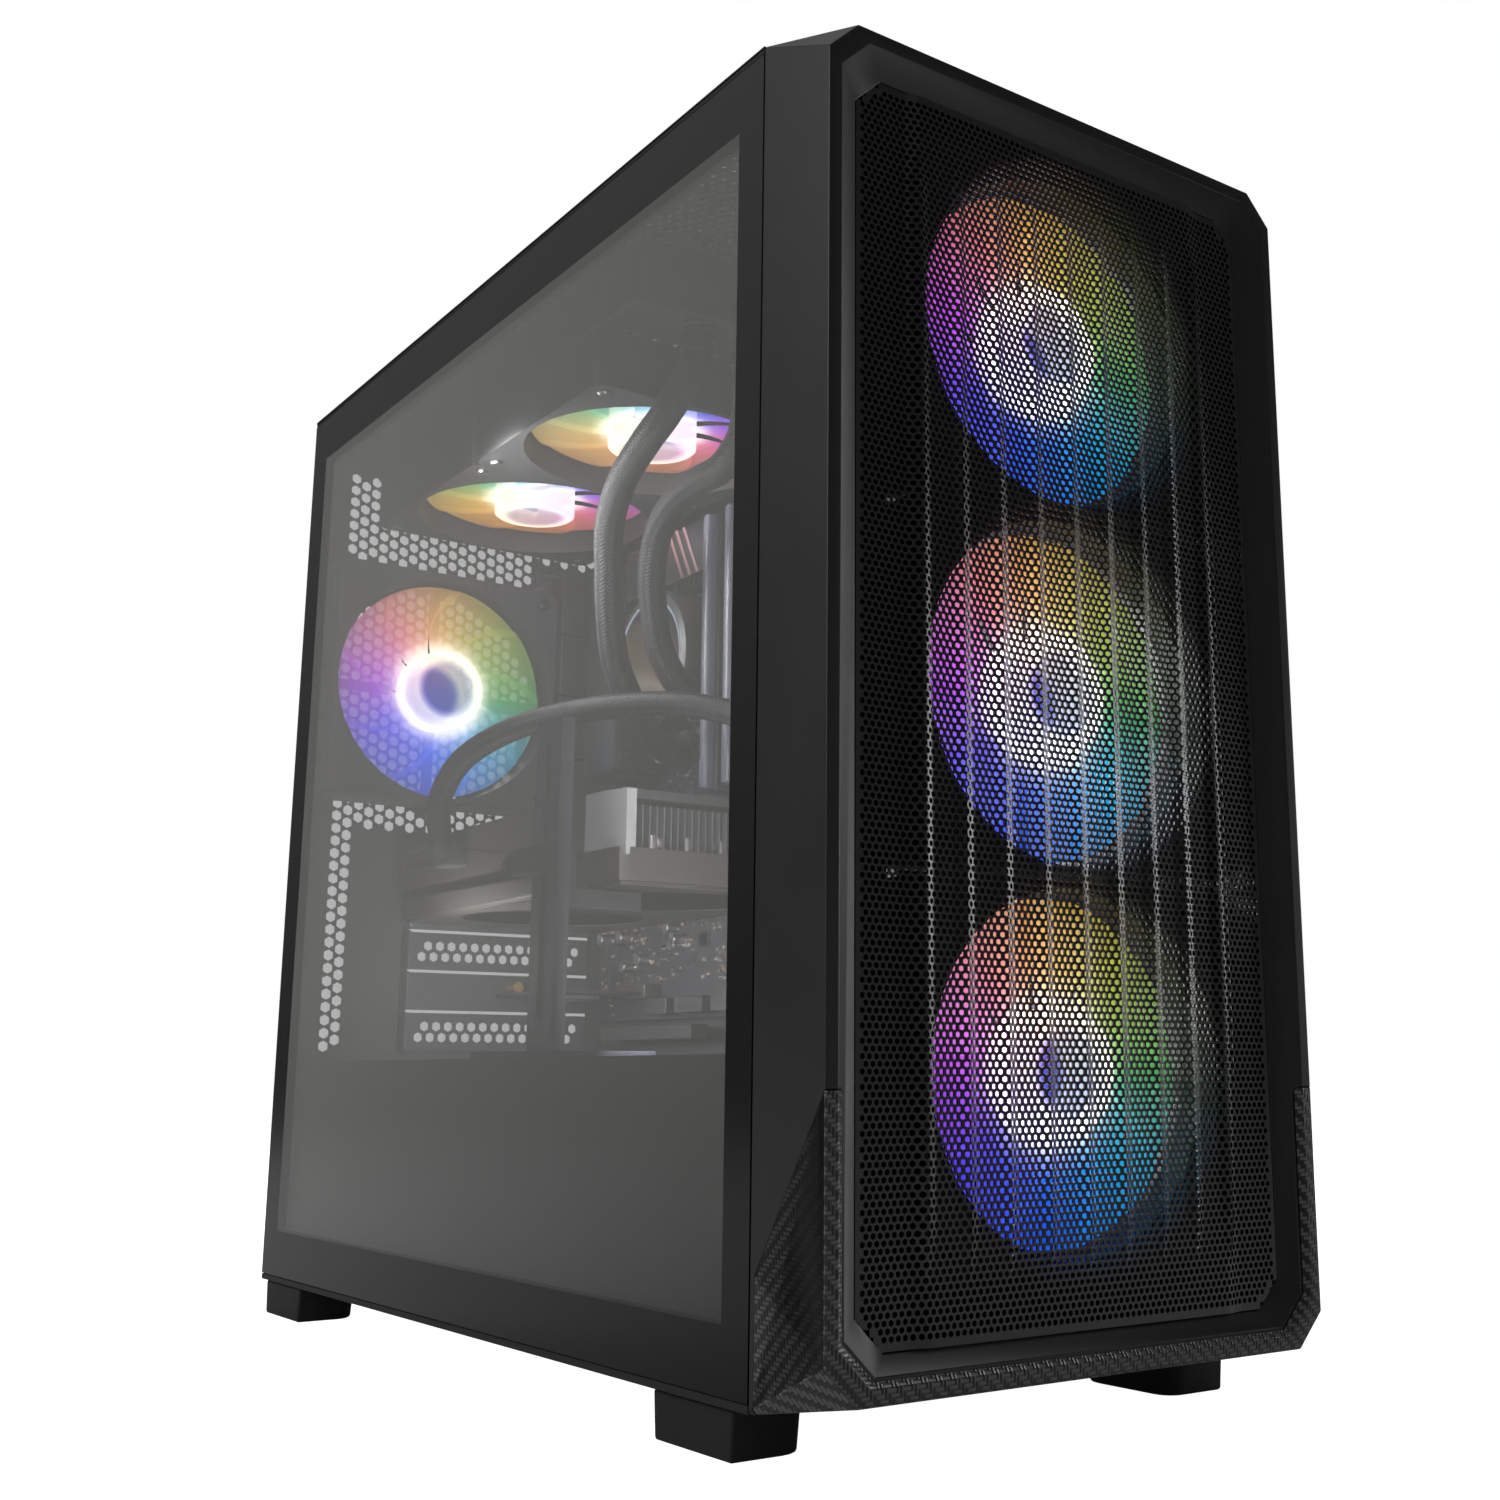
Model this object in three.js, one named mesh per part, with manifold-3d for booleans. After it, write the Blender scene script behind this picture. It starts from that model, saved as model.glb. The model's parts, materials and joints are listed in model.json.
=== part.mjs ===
// Desktop computer tower with a glass side, a meshed front, three front fans, a top radiator,
// a mainboard with its cards and a power supply under a shroud.
// Millimetres, +Z up. The front faces -Y and the glass is on the -X side.
// Inside the tower group, y is counted rearwards from the front rim.
import * as THREE from 'three';
import { mergeVertices } from 'three/addons/utils/BufferGeometryUtils.js';
import { ConvexGeometry } from 'three/addons/geometries/ConvexGeometry.js';
import Module from 'manifold-3d';

const wasm = await Module();
wasm.setup();

// Overall sizes
const caseWidth = 209;
const caseDepth = 458;
const caseTop = 441;
const footHeight = 15;

// Sheet work and clearances
const gap = 0.3; // between two pieces that touch
const sheet = 1.2; // steel sheet of the chassis
const lip = 2.5; // turned edge of the top and bottom panels
const past = 1; // how far a cutting shape runs past the face it opens

// Front bezel and mesh
const bezelDepth = 34;
const rimWidth = 204.6;
const rimInset = 4.8; // rim below the top panel and above the bottom one
const cornerCut = 11.3;
const squareCut = 0.8; // corner where the bezel meets the chassis
const rimFlat = 4.5;
const funnelDepth = 6;
const meshMargin = 16.5; // side of the case to the mesh
const meshMarginZ = 17.5;
const meshCornerCut = 10;
const bezelWall = 2.4;
const meshSheet = 0.8;
const meshFoldIn = 25; // mesh edge to the start of the raised middle
const meshFoldRise = 1.8;
const trimThickness = 1.6;
const trimApex = 105;
const trimRearTop = 53;
const trimRearInset = 2;

// Fans
const fanSize = 120;
const fanThickness = 25;
const fanBore = 57.8;
const fanCorner = 6;
const fanPitch = 122.6;
const fanHub = 21;
const bladeTip = 55.4;
const strutWidth = 5;
const strutDepth = 3;
const screwHole = 2.1;
const screwPitch = 105;

// Glass side
const glassThickness = 4;
const windowFront = 14.4; // glass edge to the clear window, at its front, rear, foot and top
const windowRear = 18;
const windowFoot = 20;
const windowTop = 22;
const flangeWidth = 15;
const thumbInset = 9;
const thumbFromEnd = 26;
const thumbRadius = 5.5;
const thumbHead = 5.2;
const thumbShank = 1.6;
const thumbLength = 5;
const thumbHole = 2.3;

// Inside
const trayInset = 31.4; // right side of the case to the mainboard tray
const boardFace = 8.1; // component face of the mainboard in front of the tray
const boardThickness = 1.6;
const boardSize = 244;
const boardBelowTop = 60;
const shroudHeadroom = 12.7; // above the power supply
const shroudInset = 9.5;
const shroudFront = 64;
const shroudRearGap = 3; // leaves the thumbscrew tips free
const radiatorLength = 277;
const radiatorThickness = 27;
const radiatorCentre = 118.5; // right side of the case to the radiator's middle
const tankLength = 31;
const tubeRadius = 6.5;
const rearFanCentreX = 141.3; // from the right side of the case
const rearFanBelowTop = 136.5;
const slotPitch = 20.32;
const slotWidth = 104;
const slotCount = 5;
const slotFromSide = 41.5;
const slotsBelowBoardTop = 158.4;
const cardLength = 228;
const cardHeight = 115;
const cardThickness = 39;
const cardFan = 44;
const supplyWidth = 150;
const supplyHeight = 86;
const supplyLength = 140;

// Places worked out from the sizes above
const overallDepth = caseDepth + gap + thumbHead;
const halfWidth = caseWidth / 2;
const rearFace = caseDepth - sheet - gap;
const rearInner = rearFace - sheet;
const wallFront = bezelDepth + gap;
const innerTop = caseTop - sheet - gap;
const innerFoot = footHeight + gap + sheet + gap;
const bottomFace = footHeight + gap;
const glassFoot = bottomFace + lip + gap;
const glassTop = caseTop - lip - gap;
const sideFront = bezelDepth + 0.5;
const sideRear = caseDepth;
const trayFace = halfWidth - trayInset;
const boardTop = caseTop - boardBelowTop;
const boardFoot = boardTop - boardSize;
const boardRear = rearInner - 5;
const boardFront = boardRear - boardSize;
const boardX = trayFace - boardFace;
const slotTop = boardTop - slotsBelowBoardTop;
const slotFoot = slotTop - slotCount * slotPitch;
const slotRight = halfWidth - slotFromSide;
const slotLeft = slotRight - slotWidth;
const radiatorX = halfWidth - radiatorCentre;
const radiatorFoot = innerTop - radiatorThickness;
const radiatorRear = rearInner - 6;
const radiatorFront = radiatorRear - radiatorLength;
const shroudLeft = -halfWidth + shroudInset;
const shroudTop = innerFoot + supplyHeight + shroudHeadroom;
const middleZ = (bottomFace + caseTop) / 2 + 4.6;
const tower = new THREE.Group();
tower.position.y = -overallDepth / 2;

// ---- Helpers ----

function finish(color, roughness, metalness) {
  return new THREE.MeshStandardMaterial({ color, roughness, metalness });
}

const blackSteel = finish(0x17171a, 0.5, 0.6);
const blackPlastic = finish(0x121214, 0.55, 0);
const satinPlastic = finish(0x232325, 0.45, 0);
const meshSteel = finish(0x1c1c20, 0.45, 0.7);
const carbon = finish(0x2b2b2d, 0.4, 0);
const rubber = finish(0x0e0e0f, 0.75, 0);
const bladePlastic = finish(0xd8d8ea, 0.35, 0);
const circuit = finish(0x14161a, 0.6, 0);
const aluminium = finish(0x8d9096, 0.4, 0.9);
const tubing = finish(0x18181a, 0.8, 0);
const glassTint = finish(0x2a2a2c, 0.06, 0);

// Adds one closed body to the tower under its own name.
function place(name, material, geometry, group = tower) {
  const mesh = new THREE.Mesh(geometry, material);
  mesh.name = name;
  group.add(mesh);
  return mesh;
}

// A block between two x, two y and two z values.
function block(x0, x1, y0, y1, z0, z1) {
  const geometry = new THREE.BoxGeometry(x1 - x0, y1 - y0, z1 - z0);
  return geometry.translate((x0 + x1) / 2, (y0 + y1) / 2, (z0 + z1) / 2);
}

const bases = {
  x: new THREE.Matrix4().makeBasis(
    new THREE.Vector3(0, 1, 0), new THREE.Vector3(0, 0, 1), new THREE.Vector3(1, 0, 0)),
  y: new THREE.Matrix4().makeBasis(
    new THREE.Vector3(0, 0, 1), new THREE.Vector3(1, 0, 0), new THREE.Vector3(0, 1, 0)),
  z: new THREE.Matrix4(),
};

// An outline carried along an axis from one value to another. The outline's two numbers
// are (y, z) along x, (z, x) along y and (x, y) along z.
function prism(axis, outline, from, to) {
  const shape = outline instanceof THREE.Shape
    ? outline
    : new THREE.Shape(outline.map(([u, v]) => new THREE.Vector2(u, v)));
  const options = { depth: to - from, bevelEnabled: false, curveSegments: 12 };
  const geometry = new THREE.ExtrudeGeometry(shape, options);
  return geometry.translate(0, 0, from).applyMatrix4(bases[axis]);
}

// A round bar along an axis, with its middle at the two cross values of prism's outline.
function bar(axis, u, v, radius, from, to, sides = 24) {
  const geometry = new THREE.CylinderGeometry(radius, radius, to - from, sides);
  geometry.rotateX(Math.PI / 2).translate(u, v, (from + to) / 2);
  return geometry.applyMatrix4(bases[axis]);
}

function toSolid(geometry) {
  const bare = geometry.clone();
  bare.deleteAttribute('normal');
  bare.deleteAttribute('uv');
  const merged = mergeVertices(bare, 1e-4);
  const triVerts = new Uint32Array(merged.index.array);
  const vertProperties = new Float32Array(merged.attributes.position.array);
  return new wasm.Manifold(new wasm.Mesh({ numProp: 3, vertProperties, triVerts }));
}

function toGeometry(solid) {
  const mesh = solid.getMesh();
  const geometry = new THREE.BufferGeometry();
  geometry.setAttribute('position', new THREE.BufferAttribute(mesh.vertProperties, 3));
  geometry.setIndex(new THREE.BufferAttribute(mesh.triVerts, 1));
  geometry.computeVertexNormals();
  return geometry;
}

// The first shape joined with the others.
function join(...shapes) {
  return toGeometry(shapes.map(toSolid).reduce((whole, next) => whole.add(next)));
}

// The first shape with the others taken out of it.
function cut(...shapes) {
  return toGeometry(shapes.map(toSolid).reduce((whole, next) => whole.subtract(next)));
}

function common(first, second) {
  return toGeometry(toSolid(first).intersect(toSolid(second)));
}

// ---- Feet and chassis sheets ----

function makeFeet() {
  const footWidth = 28;
  const footLength = 46;
  const footInset = 2;
  const endRadius = 9;
  const draft = 1.2;
  const frontFoot = 45;
  const rearFoot = caseDepth - footLength - 3;
  const sides = { left: -1, right: 1 };
  for (const [end, start] of Object.entries({ front: frontFoot, rear: rearFoot })) {
    for (const [side, sign] of Object.entries(sides)) {
      const outer = halfWidth - footInset;
      const points = [];
      for (const [level, shrink] of [[0, draft], [footHeight, 0]]) {
        points.push(new THREE.Vector3(sign * outer, start + shrink, level));
        points.push(new THREE.Vector3(sign * outer, start + footLength - shrink, level));
        for (const [y, turn] of [[start, -1], [start + footLength, 1]]) {
          for (let step = 0; step <= 4; step += 1) {
            const angle = (step / 4) * (Math.PI / 2);
            const x = outer - footWidth + endRadius - (endRadius - shrink) * Math.sin(angle);
            const along = y - turn * (endRadius - (endRadius - shrink) * Math.cos(angle));
            points.push(new THREE.Vector3(sign * x, along, level));
          }
        }
      }
      place(`foot_${end}_${side}`, rubber, new ConvexGeometry(points));
    }
  }
}

function makeBottomPanel() {
  const filterRail = 70;
  const railFoot = 4.2;
  const railHook = 5;
  const railFront = 285;
  const tray = prism('y', [
    [bottomFace, -halfWidth], [bottomFace, halfWidth], [bottomFace + lip, halfWidth],
    [bottomFace + lip, halfWidth - sheet], [bottomFace + sheet, halfWidth - sheet],
    [bottomFace + sheet, -halfWidth + sheet], [bottomFace + lip, -halfWidth + sheet],
    [bottomFace + lip, -halfWidth],
  ], wallFront, rearFace);
  const rails = [-1, 1].map((side) => {
    const outline = [
      [bottomFace + sheet / 2, side * filterRail],
      [bottomFace - railFoot, side * filterRail],
      [bottomFace - railFoot, side * (filterRail - railHook)],
      [bottomFace - railFoot + sheet, side * (filterRail - railHook)],
      [bottomFace - railFoot + sheet, side * (filterRail - sheet)],
      [bottomFace + sheet / 2, side * (filterRail - sheet)],
    ];
    return prism('y', outline, railFront, rearFace);
  });
  place('bottom_panel', blackSteel, join(tray, ...rails));

  const filterSide = filterRail - sheet - gap;
  const filterFoot = bottomFace - railFoot + sheet + gap;
  const filterTop = bottomFace - gap;
  const filterFront = railFront + 4;
  const pullTab = 18;
  const frame = block(-filterSide, filterSide, filterFront, rearFace, filterFoot, filterTop);
  const well = block(-filterSide + 8, filterSide - 8, filterFront + 8, rearFace - 8,
    filterTop - 1, filterTop + past);
  const tab = block(-pullTab, pullTab, rearFace - 2, rearFace + 4, filterFoot, filterTop);
  place('bottom_dust_filter', blackPlastic, cut(join(frame, tab), well));
}

function makeTopPanel() {
  place('top_panel', blackSteel, prism('y', [
    [caseTop, -halfWidth], [caseTop - lip, -halfWidth], [caseTop - lip, -halfWidth + sheet],
    [caseTop - sheet, -halfWidth + sheet], [caseTop - sheet, halfWidth - sheet],
    [caseTop - lip, halfWidth - sheet], [caseTop - lip, halfWidth], [caseTop, halfWidth],
  ], wallFront, rearFace));

  const filterFront = 84;
  const filterRear = caseDepth - 14;
  const filterSide = halfWidth - 18;
  const filterThickness = 1.8;
  const face = caseTop + gap;
  const frame = block(-filterSide, filterSide, filterFront, filterRear, face,
    face + filterThickness);
  const well = block(-filterSide + 9, filterSide - 9, filterFront + 9, filterRear - 9,
    face + 0.8, face + filterThickness + past);
  place('top_dust_filter', blackPlastic, cut(frame, well));
}

// The control strip behind the bezel, with its power button, two ports and a headset socket.
function makeControls() {
  const stripFront = 44;
  const stripRear = 66;
  const stripSide = 52;
  const stripThickness = 1.8;
  const middle = (stripFront + stripRear) / 2;
  const face = caseTop + gap;
  const top = face + stripThickness;
  const body = block(-stripSide, stripSide, stripFront, stripRear, face, top);
  const port = [6.2, 2.4];
  const portPlaces = [6, 26];
  const buttonX = -34;
  const buttonRadius = 6.5;
  const cuts = portPlaces.map((x) => (
    block(x - port[0], x + port[0], middle - port[1], middle + port[1], face - past, top + past)));
  cuts.push(bar('z', 43, middle, 1.9, face - past, top + past, 12));
  cuts.push(bar('z', buttonX, middle, buttonRadius + gap, face - past, top + past));
  place('control_strip', blackPlastic, cut(body, ...cuts));

  // Room for the button's travel and the ports' plugs goes through the top panel as well.
  const sinks = portPlaces.map((x) => (
    block(x - port[0] - 1, x + port[0] + 1, middle - port[1] - 1, middle + port[1] + 1,
      caseTop - lip - past, face)));
  sinks.push(bar('z', buttonX, middle, buttonRadius + 1, caseTop - lip - past, face));
  const panel = tower.getObjectByName('top_panel');
  panel.geometry = cut(panel.geometry, ...sinks);

  const cap = 1.2;
  const stem = 5;
  place('power_button', satinPlastic,
    bar('z', buttonX, middle, buttonRadius, top + cap - stem, top + cap));
}

function makeRearPanel() {
  const plate = block(-halfWidth + glassThickness + sheet + 2 * gap, halfWidth - sheet - gap,
    rearInner, rearFace, innerFoot, innerTop);
  const ioRight = boardX + 1.5;
  const io = block(ioRight - 44.4, ioRight, rearInner - past, rearFace + past,
    slotTop + 6, boardTop + 2);
  const slots = block(slotLeft, slotRight - 2, rearInner - past, rearFace + past, slotFoot + 3,
    slotTop - 1);
  const supply = block(supplyLeft + 6, supplyLeft + supplyWidth - 6, rearInner - past,
    rearFace + past, innerFoot + 6, innerFoot + supplyHeight - 6);
  const screws = thumbPlaces.map(([x, z]) => (
    bar('y', z, x, thumbHole, rearInner - past, rearFace + past, 10)));
  place('rear_panel', blackSteel, cut(plate, io, slots, supply, ...screws));
}

function makeFrontWall() {
  const openingSide = fanSize / 2 - 5;
  const openingHalf = (3 * fanPitch) / 2 - 8;
  const wall = block(-halfWidth + glassThickness + 2, halfWidth - 2 * sheet - gap, wallFront,
    wallFront + sheet, bottomFace + sheet + gap, innerTop);
  const opening = block(-openingSide, openingSide, wallFront - past, wallFront + sheet + past,
    middleZ - openingHalf, middleZ + openingHalf);
  place('front_wall', blackSteel, cut(wall, opening));
}

const grommet = { y: boardFront - 10.3, z: boardFoot + 99, width: 20, height: 96 };

function makeTray() {
  const trayFront = 72;
  const plate = block(trayFace, trayFace + sheet, trayFront, rearInner - gap, shroudTop + gap,
    innerTop);
  const coolerAccess = block(trayFace - past, trayFace + sheet + past, boardRear - 165,
    boardRear - 50, boardTop - 130, boardTop - 25);
  const cableWay = block(trayFace - past, trayFace + sheet + past, grommet.y - grommet.width,
    grommet.y, grommet.z - grommet.height / 2, grommet.z + grommet.height / 2);
  place('mainboard_tray', blackSteel, cut(plate, coolerAccess, cableWay));
}

function makeShroud() {
  const right = trayFace + 6;
  place('supply_shroud', blackSteel, prism('y', [
    [innerFoot, shroudLeft], [shroudTop, shroudLeft], [shroudTop, right],
    [shroudTop - sheet, right], [shroudTop - sheet, shroudLeft + sheet],
    [innerFoot, shroudLeft + sheet],
  ].reverse(), shroudFront, rearInner - shroudRearGap));
}

// ---- Fans: built around their own axis, with the front face at z = 0 ----

function roundedSquare(size, radius) {
  const half = size / 2;
  const shape = new THREE.Shape();
  shape.moveTo(half, -half + radius);
  shape.absarc(half - radius, half - radius, radius, 0, Math.PI / 2);
  shape.absarc(-half + radius, half - radius, radius, Math.PI / 2, Math.PI);
  shape.absarc(-half + radius, -half + radius, radius, Math.PI, 1.5 * Math.PI);
  shape.absarc(half - radius, -half + radius, radius, 1.5 * Math.PI, 2 * Math.PI);
  return shape;
}

function fanFrame() {
  const shape = new THREE.Shape(roundedSquare(fanSize, fanCorner).getPoints(2));
  const body = prism('z', shape, 0, fanThickness);
  const bore = bar('z', 0, 0, fanBore, -past, fanThickness + past, 32);
  const corners = [-1, 1].flatMap((i) => [-1, 1].map((j) => bar('z', (i * screwPitch) / 2,
    (j * screwPitch) / 2, screwHole, -past, fanThickness + past, 6)));
  const ring = cut(body, bore, ...corners);
  const hub = bar('z', 0, 0, fanHub, fanThickness - strutDepth, fanThickness, 16);
  const reach = fanBore + 1;
  const strut = block(-reach, reach, -strutWidth / 2, strutWidth / 2,
    fanThickness - strutDepth, fanThickness);
  const across = strut.clone().rotateZ(Math.PI / 2);
  return join(ring, hub, strut, across);
}

// A hub with tilted blades that clear the bore and the struts behind them.
function rotor(hubRadius, tip, depth, count, pitchAngle) {
  const hubProfile = [
    [0, 0], [hubRadius - 2, 0], [hubRadius, 2], [hubRadius, depth], [0, depth],
  ].map(([r, z]) => new THREE.Vector2(r, z));
  const hub = new THREE.LatheGeometry(hubProfile, 18).rotateX(Math.PI / 2);
  if (toSolid(hub).volume() < 0) {
    hub.index.array.reverse();
  }
  const root = 0.4 * hubRadius;
  const chord = 0.45 * tip;
  const sweep = 0.12 * tip;
  const blades = [];
  for (let index = 0; index < count; index += 1) {
    const outline = [
      [hubRadius - 2, -root], [tip * 0.7, -chord / 2], [tip * 0.98, -chord / 2 + sweep],
      [tip, sweep], [tip * 0.94, chord / 2 + sweep * 0.6], [tip * 0.7, chord / 2],
      [hubRadius - 2, root],
    ];
    const blade = prism('z', outline, -0.6, 0.6);
    blade.rotateX(pitchAngle).translate(0, 0, depth / 2);
    blade.rotateZ((index / count) * 2 * Math.PI);
    blades.push(blade);
  }
  return join(hub, ...blades);
}

function fanRotor() {
  return rotor(fanHub - 1, bladeTip, fanThickness - strutDepth - 2.5, 9, 0.5).translate(0, 0, 1.5);
}

function fan(name, position, turn) {
  const group = new THREE.Group();
  group.position.copy(position);
  group.rotation.set(...turn);
  tower.add(group);
  place(`${name}_frame`, blackPlastic, fanFrame(), group);
  place(`${name}_rotor`, bladePlastic, fanRotor(), group);
}

function makeFans() {
  const blowRear = [-Math.PI / 2, 0, 0];
  const blowUp = [0, 0, 0];
  const frontFace = wallFront - gap - fanThickness;
  const heights = { bottom: -fanPitch, middle: 0, top: fanPitch };
  for (const [name, offset] of Object.entries(heights)) {
    fan(`front_fan_${name}`, new THREE.Vector3(0, frontFace, middleZ + offset), blowRear);
  }
  const rearX = halfWidth - rearFanCentreX;
  const rearZ = caseTop - rearFanBelowTop;
  fan('rear_fan', new THREE.Vector3(rearX, rearInner - gap - fanThickness, rearZ), blowRear);
  const under = radiatorFoot - gap - fanThickness;
  const firstFan = radiatorFront + tankLength + fanSize / 2 + 1;
  const pitch = fanSize + gap;
  const fronts = { front: firstFan, rear: firstFan + pitch };
  for (const [name, y] of Object.entries(fronts)) {
    fan(`radiator_fan_${name}`, new THREE.Vector3(radiatorX, y, under), blowUp);
  }
}

// ---- Liquid cooler ----

const port = { left: -26, right: -1, fromFront: 8, radius: 7.5, length: 5 };
const pump = {
  y: boardRear - 118.3,
  z: boardTop - 73,
  radius: 36,
  thickness: 38,
  standOff: 3,
};

function makeRadiator() {
  const half = fanSize / 2;
  const core = block(radiatorX - half, radiatorX + half, radiatorFront, radiatorRear,
    radiatorFoot, innerTop);
  const finWell = block(radiatorX - half + 6, radiatorX + half - 6, radiatorFront + tankLength + 3,
    radiatorRear - 10, radiatorFoot - past, radiatorFoot + 5);
  const ports = [port.left, port.right].map((x) => bar('z', radiatorX + x,
    radiatorFront + port.fromFront, port.radius, radiatorFoot - port.length, radiatorFoot + 1, 16));
  place('radiator', blackSteel, join(cut(core, finWell), ...ports));
}

function makePump() {
  const base = boardX - pump.standOff;
  const face = base - pump.thickness;
  const cap = bar('x', pump.y, pump.z, pump.radius, face, base - 6, 36);
  const plate = block(base - 8, base, pump.y - 42, pump.y + 42, pump.z - 42, pump.z + 42);
  place('pump_block', blackPlastic, join(cap, plate));
}

// A round tube of eight sides along a smooth curve through hand-chosen points.
function tube(points, radius, steps) {
  const curve = new THREE.CatmullRomCurve3(points.map((p) => new THREE.Vector3(...p)));
  const section = new THREE.Shape();
  for (let side = 0; side < 8; side += 1) {
    const angle = ((side + 0.5) / 8) * 2 * Math.PI;
    const point = [radius * Math.cos(angle), radius * Math.sin(angle)];
    if (side === 0) {
      section.moveTo(...point);
    } else {
      section.lineTo(...point);
    }
  }
  section.closePath();
  return new THREE.ExtrudeGeometry(section, { steps, extrudePath: curve });
}

const supplyTube = [
  [-40, 182, 407], [-40, 182, 400], [-42, 186, 391], [-45, 197, 379], [-45, 217, 370],
  [-43, 239, 360], [-39, 256, 346], [-33, 267, 331], [-26, 278, 313], [-18, 287, 295],
  [-8, 291, 279], [4, 294, 266], [16, 299, 259], [28, 306, 259], [37, 311.5, 264],
];
const returnTube = [
  [-15, 182, 407], [-15, 182, 398], [-15, 182, 386], [-15, 186, 372], [-15, 200, 363],
  [-13, 226, 363], [-10, 252, 360], [-6, 272, 351], [-2, 283, 336], [3, 289, 320],
  [8, 291, 304], [15, 289, 290], [27, 289, 279], [37, 293, 274],
];

// The hoses follow the radiator's ports and the pump when the case grows.
function makeTubes() {
  const drift = boardX - 65;
  const rise = boardTop - 381;
  const back = boardRear - 450;
  const shift = ([x, y, z]) => [x + drift, y + back, z + rise];
  place('coolant_tube_supply', tubing, tube(supplyTube.map(shift), tubeRadius, 34));
  place('coolant_tube_return', tubing, tube(returnTube.map(shift), tubeRadius, 32));
}

// ---- Mainboard and what stands on it ----

function makeMainboard() {
  const board = block(boardX, boardX + boardThickness, boardFront, boardRear, boardFoot, boardTop);
  const ioDepth = 26;
  const ioHeight = 40;
  const ioTop = boardTop - 6;
  const ioFoot = slotTop + 18;
  const ioLeft = boardX - ioHeight;
  const ioRear = rearInner - 2;
  const connectors = block(ioLeft, boardX + 0.2, ioRear - ioDepth, ioRear, ioFoot, ioTop);
  const sockets = [];
  for (let index = 0; index < 4; index += 1) {
    const z = ioTop - 16 - index * 34;
    sockets.push(block(ioLeft + 8, ioLeft + 14.5, ioRear - 12, ioRear + past, z - 6.8, z + 6.8));
    sockets.push(block(ioLeft + 22, ioLeft + 28.5, ioRear - 12, ioRear + past, z - 6.8, z + 6.8));
  }
  place('mainboard', circuit, join(board, cut(connectors, ...sockets)));

  const module = { length: 133, height: 41, thickness: 7, top: boardTop - 12 };
  const base = boardX - 3;
  for (const [name, fromRear] of Object.entries({ front: 195, rear: 176 })) {
    const y = boardRear - fromRear;
    const body = block(base - module.height, base, y - module.thickness / 2,
      y + module.thickness / 2, module.top - module.length, module.top);
    place(`memory_module_${name}`, satinPlastic, body);
  }
}

// The bent foot that fixes a card or a blank to the rear of the case.
function bracket(slotIndex, spanSlots = 1) {
  const foot = slotTop - (slotIndex + spanSlots) * slotPitch + gap;
  const top = slotTop - slotIndex * slotPitch - 1.2;
  const blade = block(slotLeft - 4, slotRight - 3, rearInner - gap - 0.9, rearInner - gap, foot, top);
  const tab = block(slotLeft - 4, slotLeft - 3.1, rearInner - 11, rearInner - gap, foot, top);
  return join(blade, tab);
}

function makeGraphicsCard() {
  const rear = rearInner - 17;
  const front = rear - cardLength;
  const right = boardX - 5;
  const left = right - cardHeight;
  const top = slotTop;
  const foot = top - cardThickness;
  const skirt = 2.4;
  const fanDeck = 15;
  const fanYs = [front + 58, front + 58 + 104];
  const fanX = (left + right) / 2 - 4;
  const deck = block(left, right, front, rear, foot, foot + fanDeck);
  const side = block(left, left + skirt, front, rear, foot + fanDeck - 1, top);
  const wells = fanYs.map((y) => bar('z', fanX, y, cardFan, foot - past, foot + fanDeck + past, 36));
  place('card_cover', satinPlastic, join(cut(deck, ...wells), side));

  const finTop = top - 6;
  const finFoot = foot + fanDeck + gap;
  const finLeft = left + skirt + gap;
  const stack = block(finLeft, right - 3, front + 2, rear - 6, finFoot, finTop);
  const grooves = [];
  for (let x = finLeft + 6; x < right - 8; x += 8) {
    grooves.push(block(x, x + 4.5, front + 2 - past, front + 30, finFoot + 2, finTop - 2));
  }
  place('card_heatsink', aluminium, cut(stack, ...grooves));

  const boardSheet = block(left + 16, boardX - 1, front + 20, rear, finTop + gap,
    finTop + gap + boardThickness);
  place('card_board', circuit, boardSheet);
  const plateFoot = finTop + 2 * gap + boardThickness;
  const plate = block(left + skirt + gap, right, front + 2, rear, plateFoot, top);
  place('card_backplate', blackSteel, plate);

  const blades = 9;
  const names = ['front', 'rear'];
  fanYs.forEach((y, index) => {
    const group = new THREE.Group();
    group.position.set(fanX, y, foot + 2);
    tower.add(group);
    place(`card_fan_${names[index]}_rotor`, blackPlastic,
      rotor(15, cardFan - 2, fanDeck - 4, blades, 0.42), group);
  });

  const steel = bracket(0, 2);
  const outlets = [];
  for (let index = 0; index < 4; index += 1) {
    const x = slotLeft + 16 + index * 21;
    outlets.push(block(x, x + 17, rearInner - 4, rearInner + past, top - 31, top - 25));
  }
  place('card_bracket', aluminium, cut(steel, ...outlets));
}

const cardCableRoute = [
  [78, 188, 236], [66, 188, 238], [40, 190, 244], [18, 204, 254], [-8, 236, 266],
  [-34, 280, 268], [-54, 322, 262], [-64, 350, 250], [-67, 362, 234], [-65, 364, 218],
  [-61, 364, 209],
];

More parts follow.
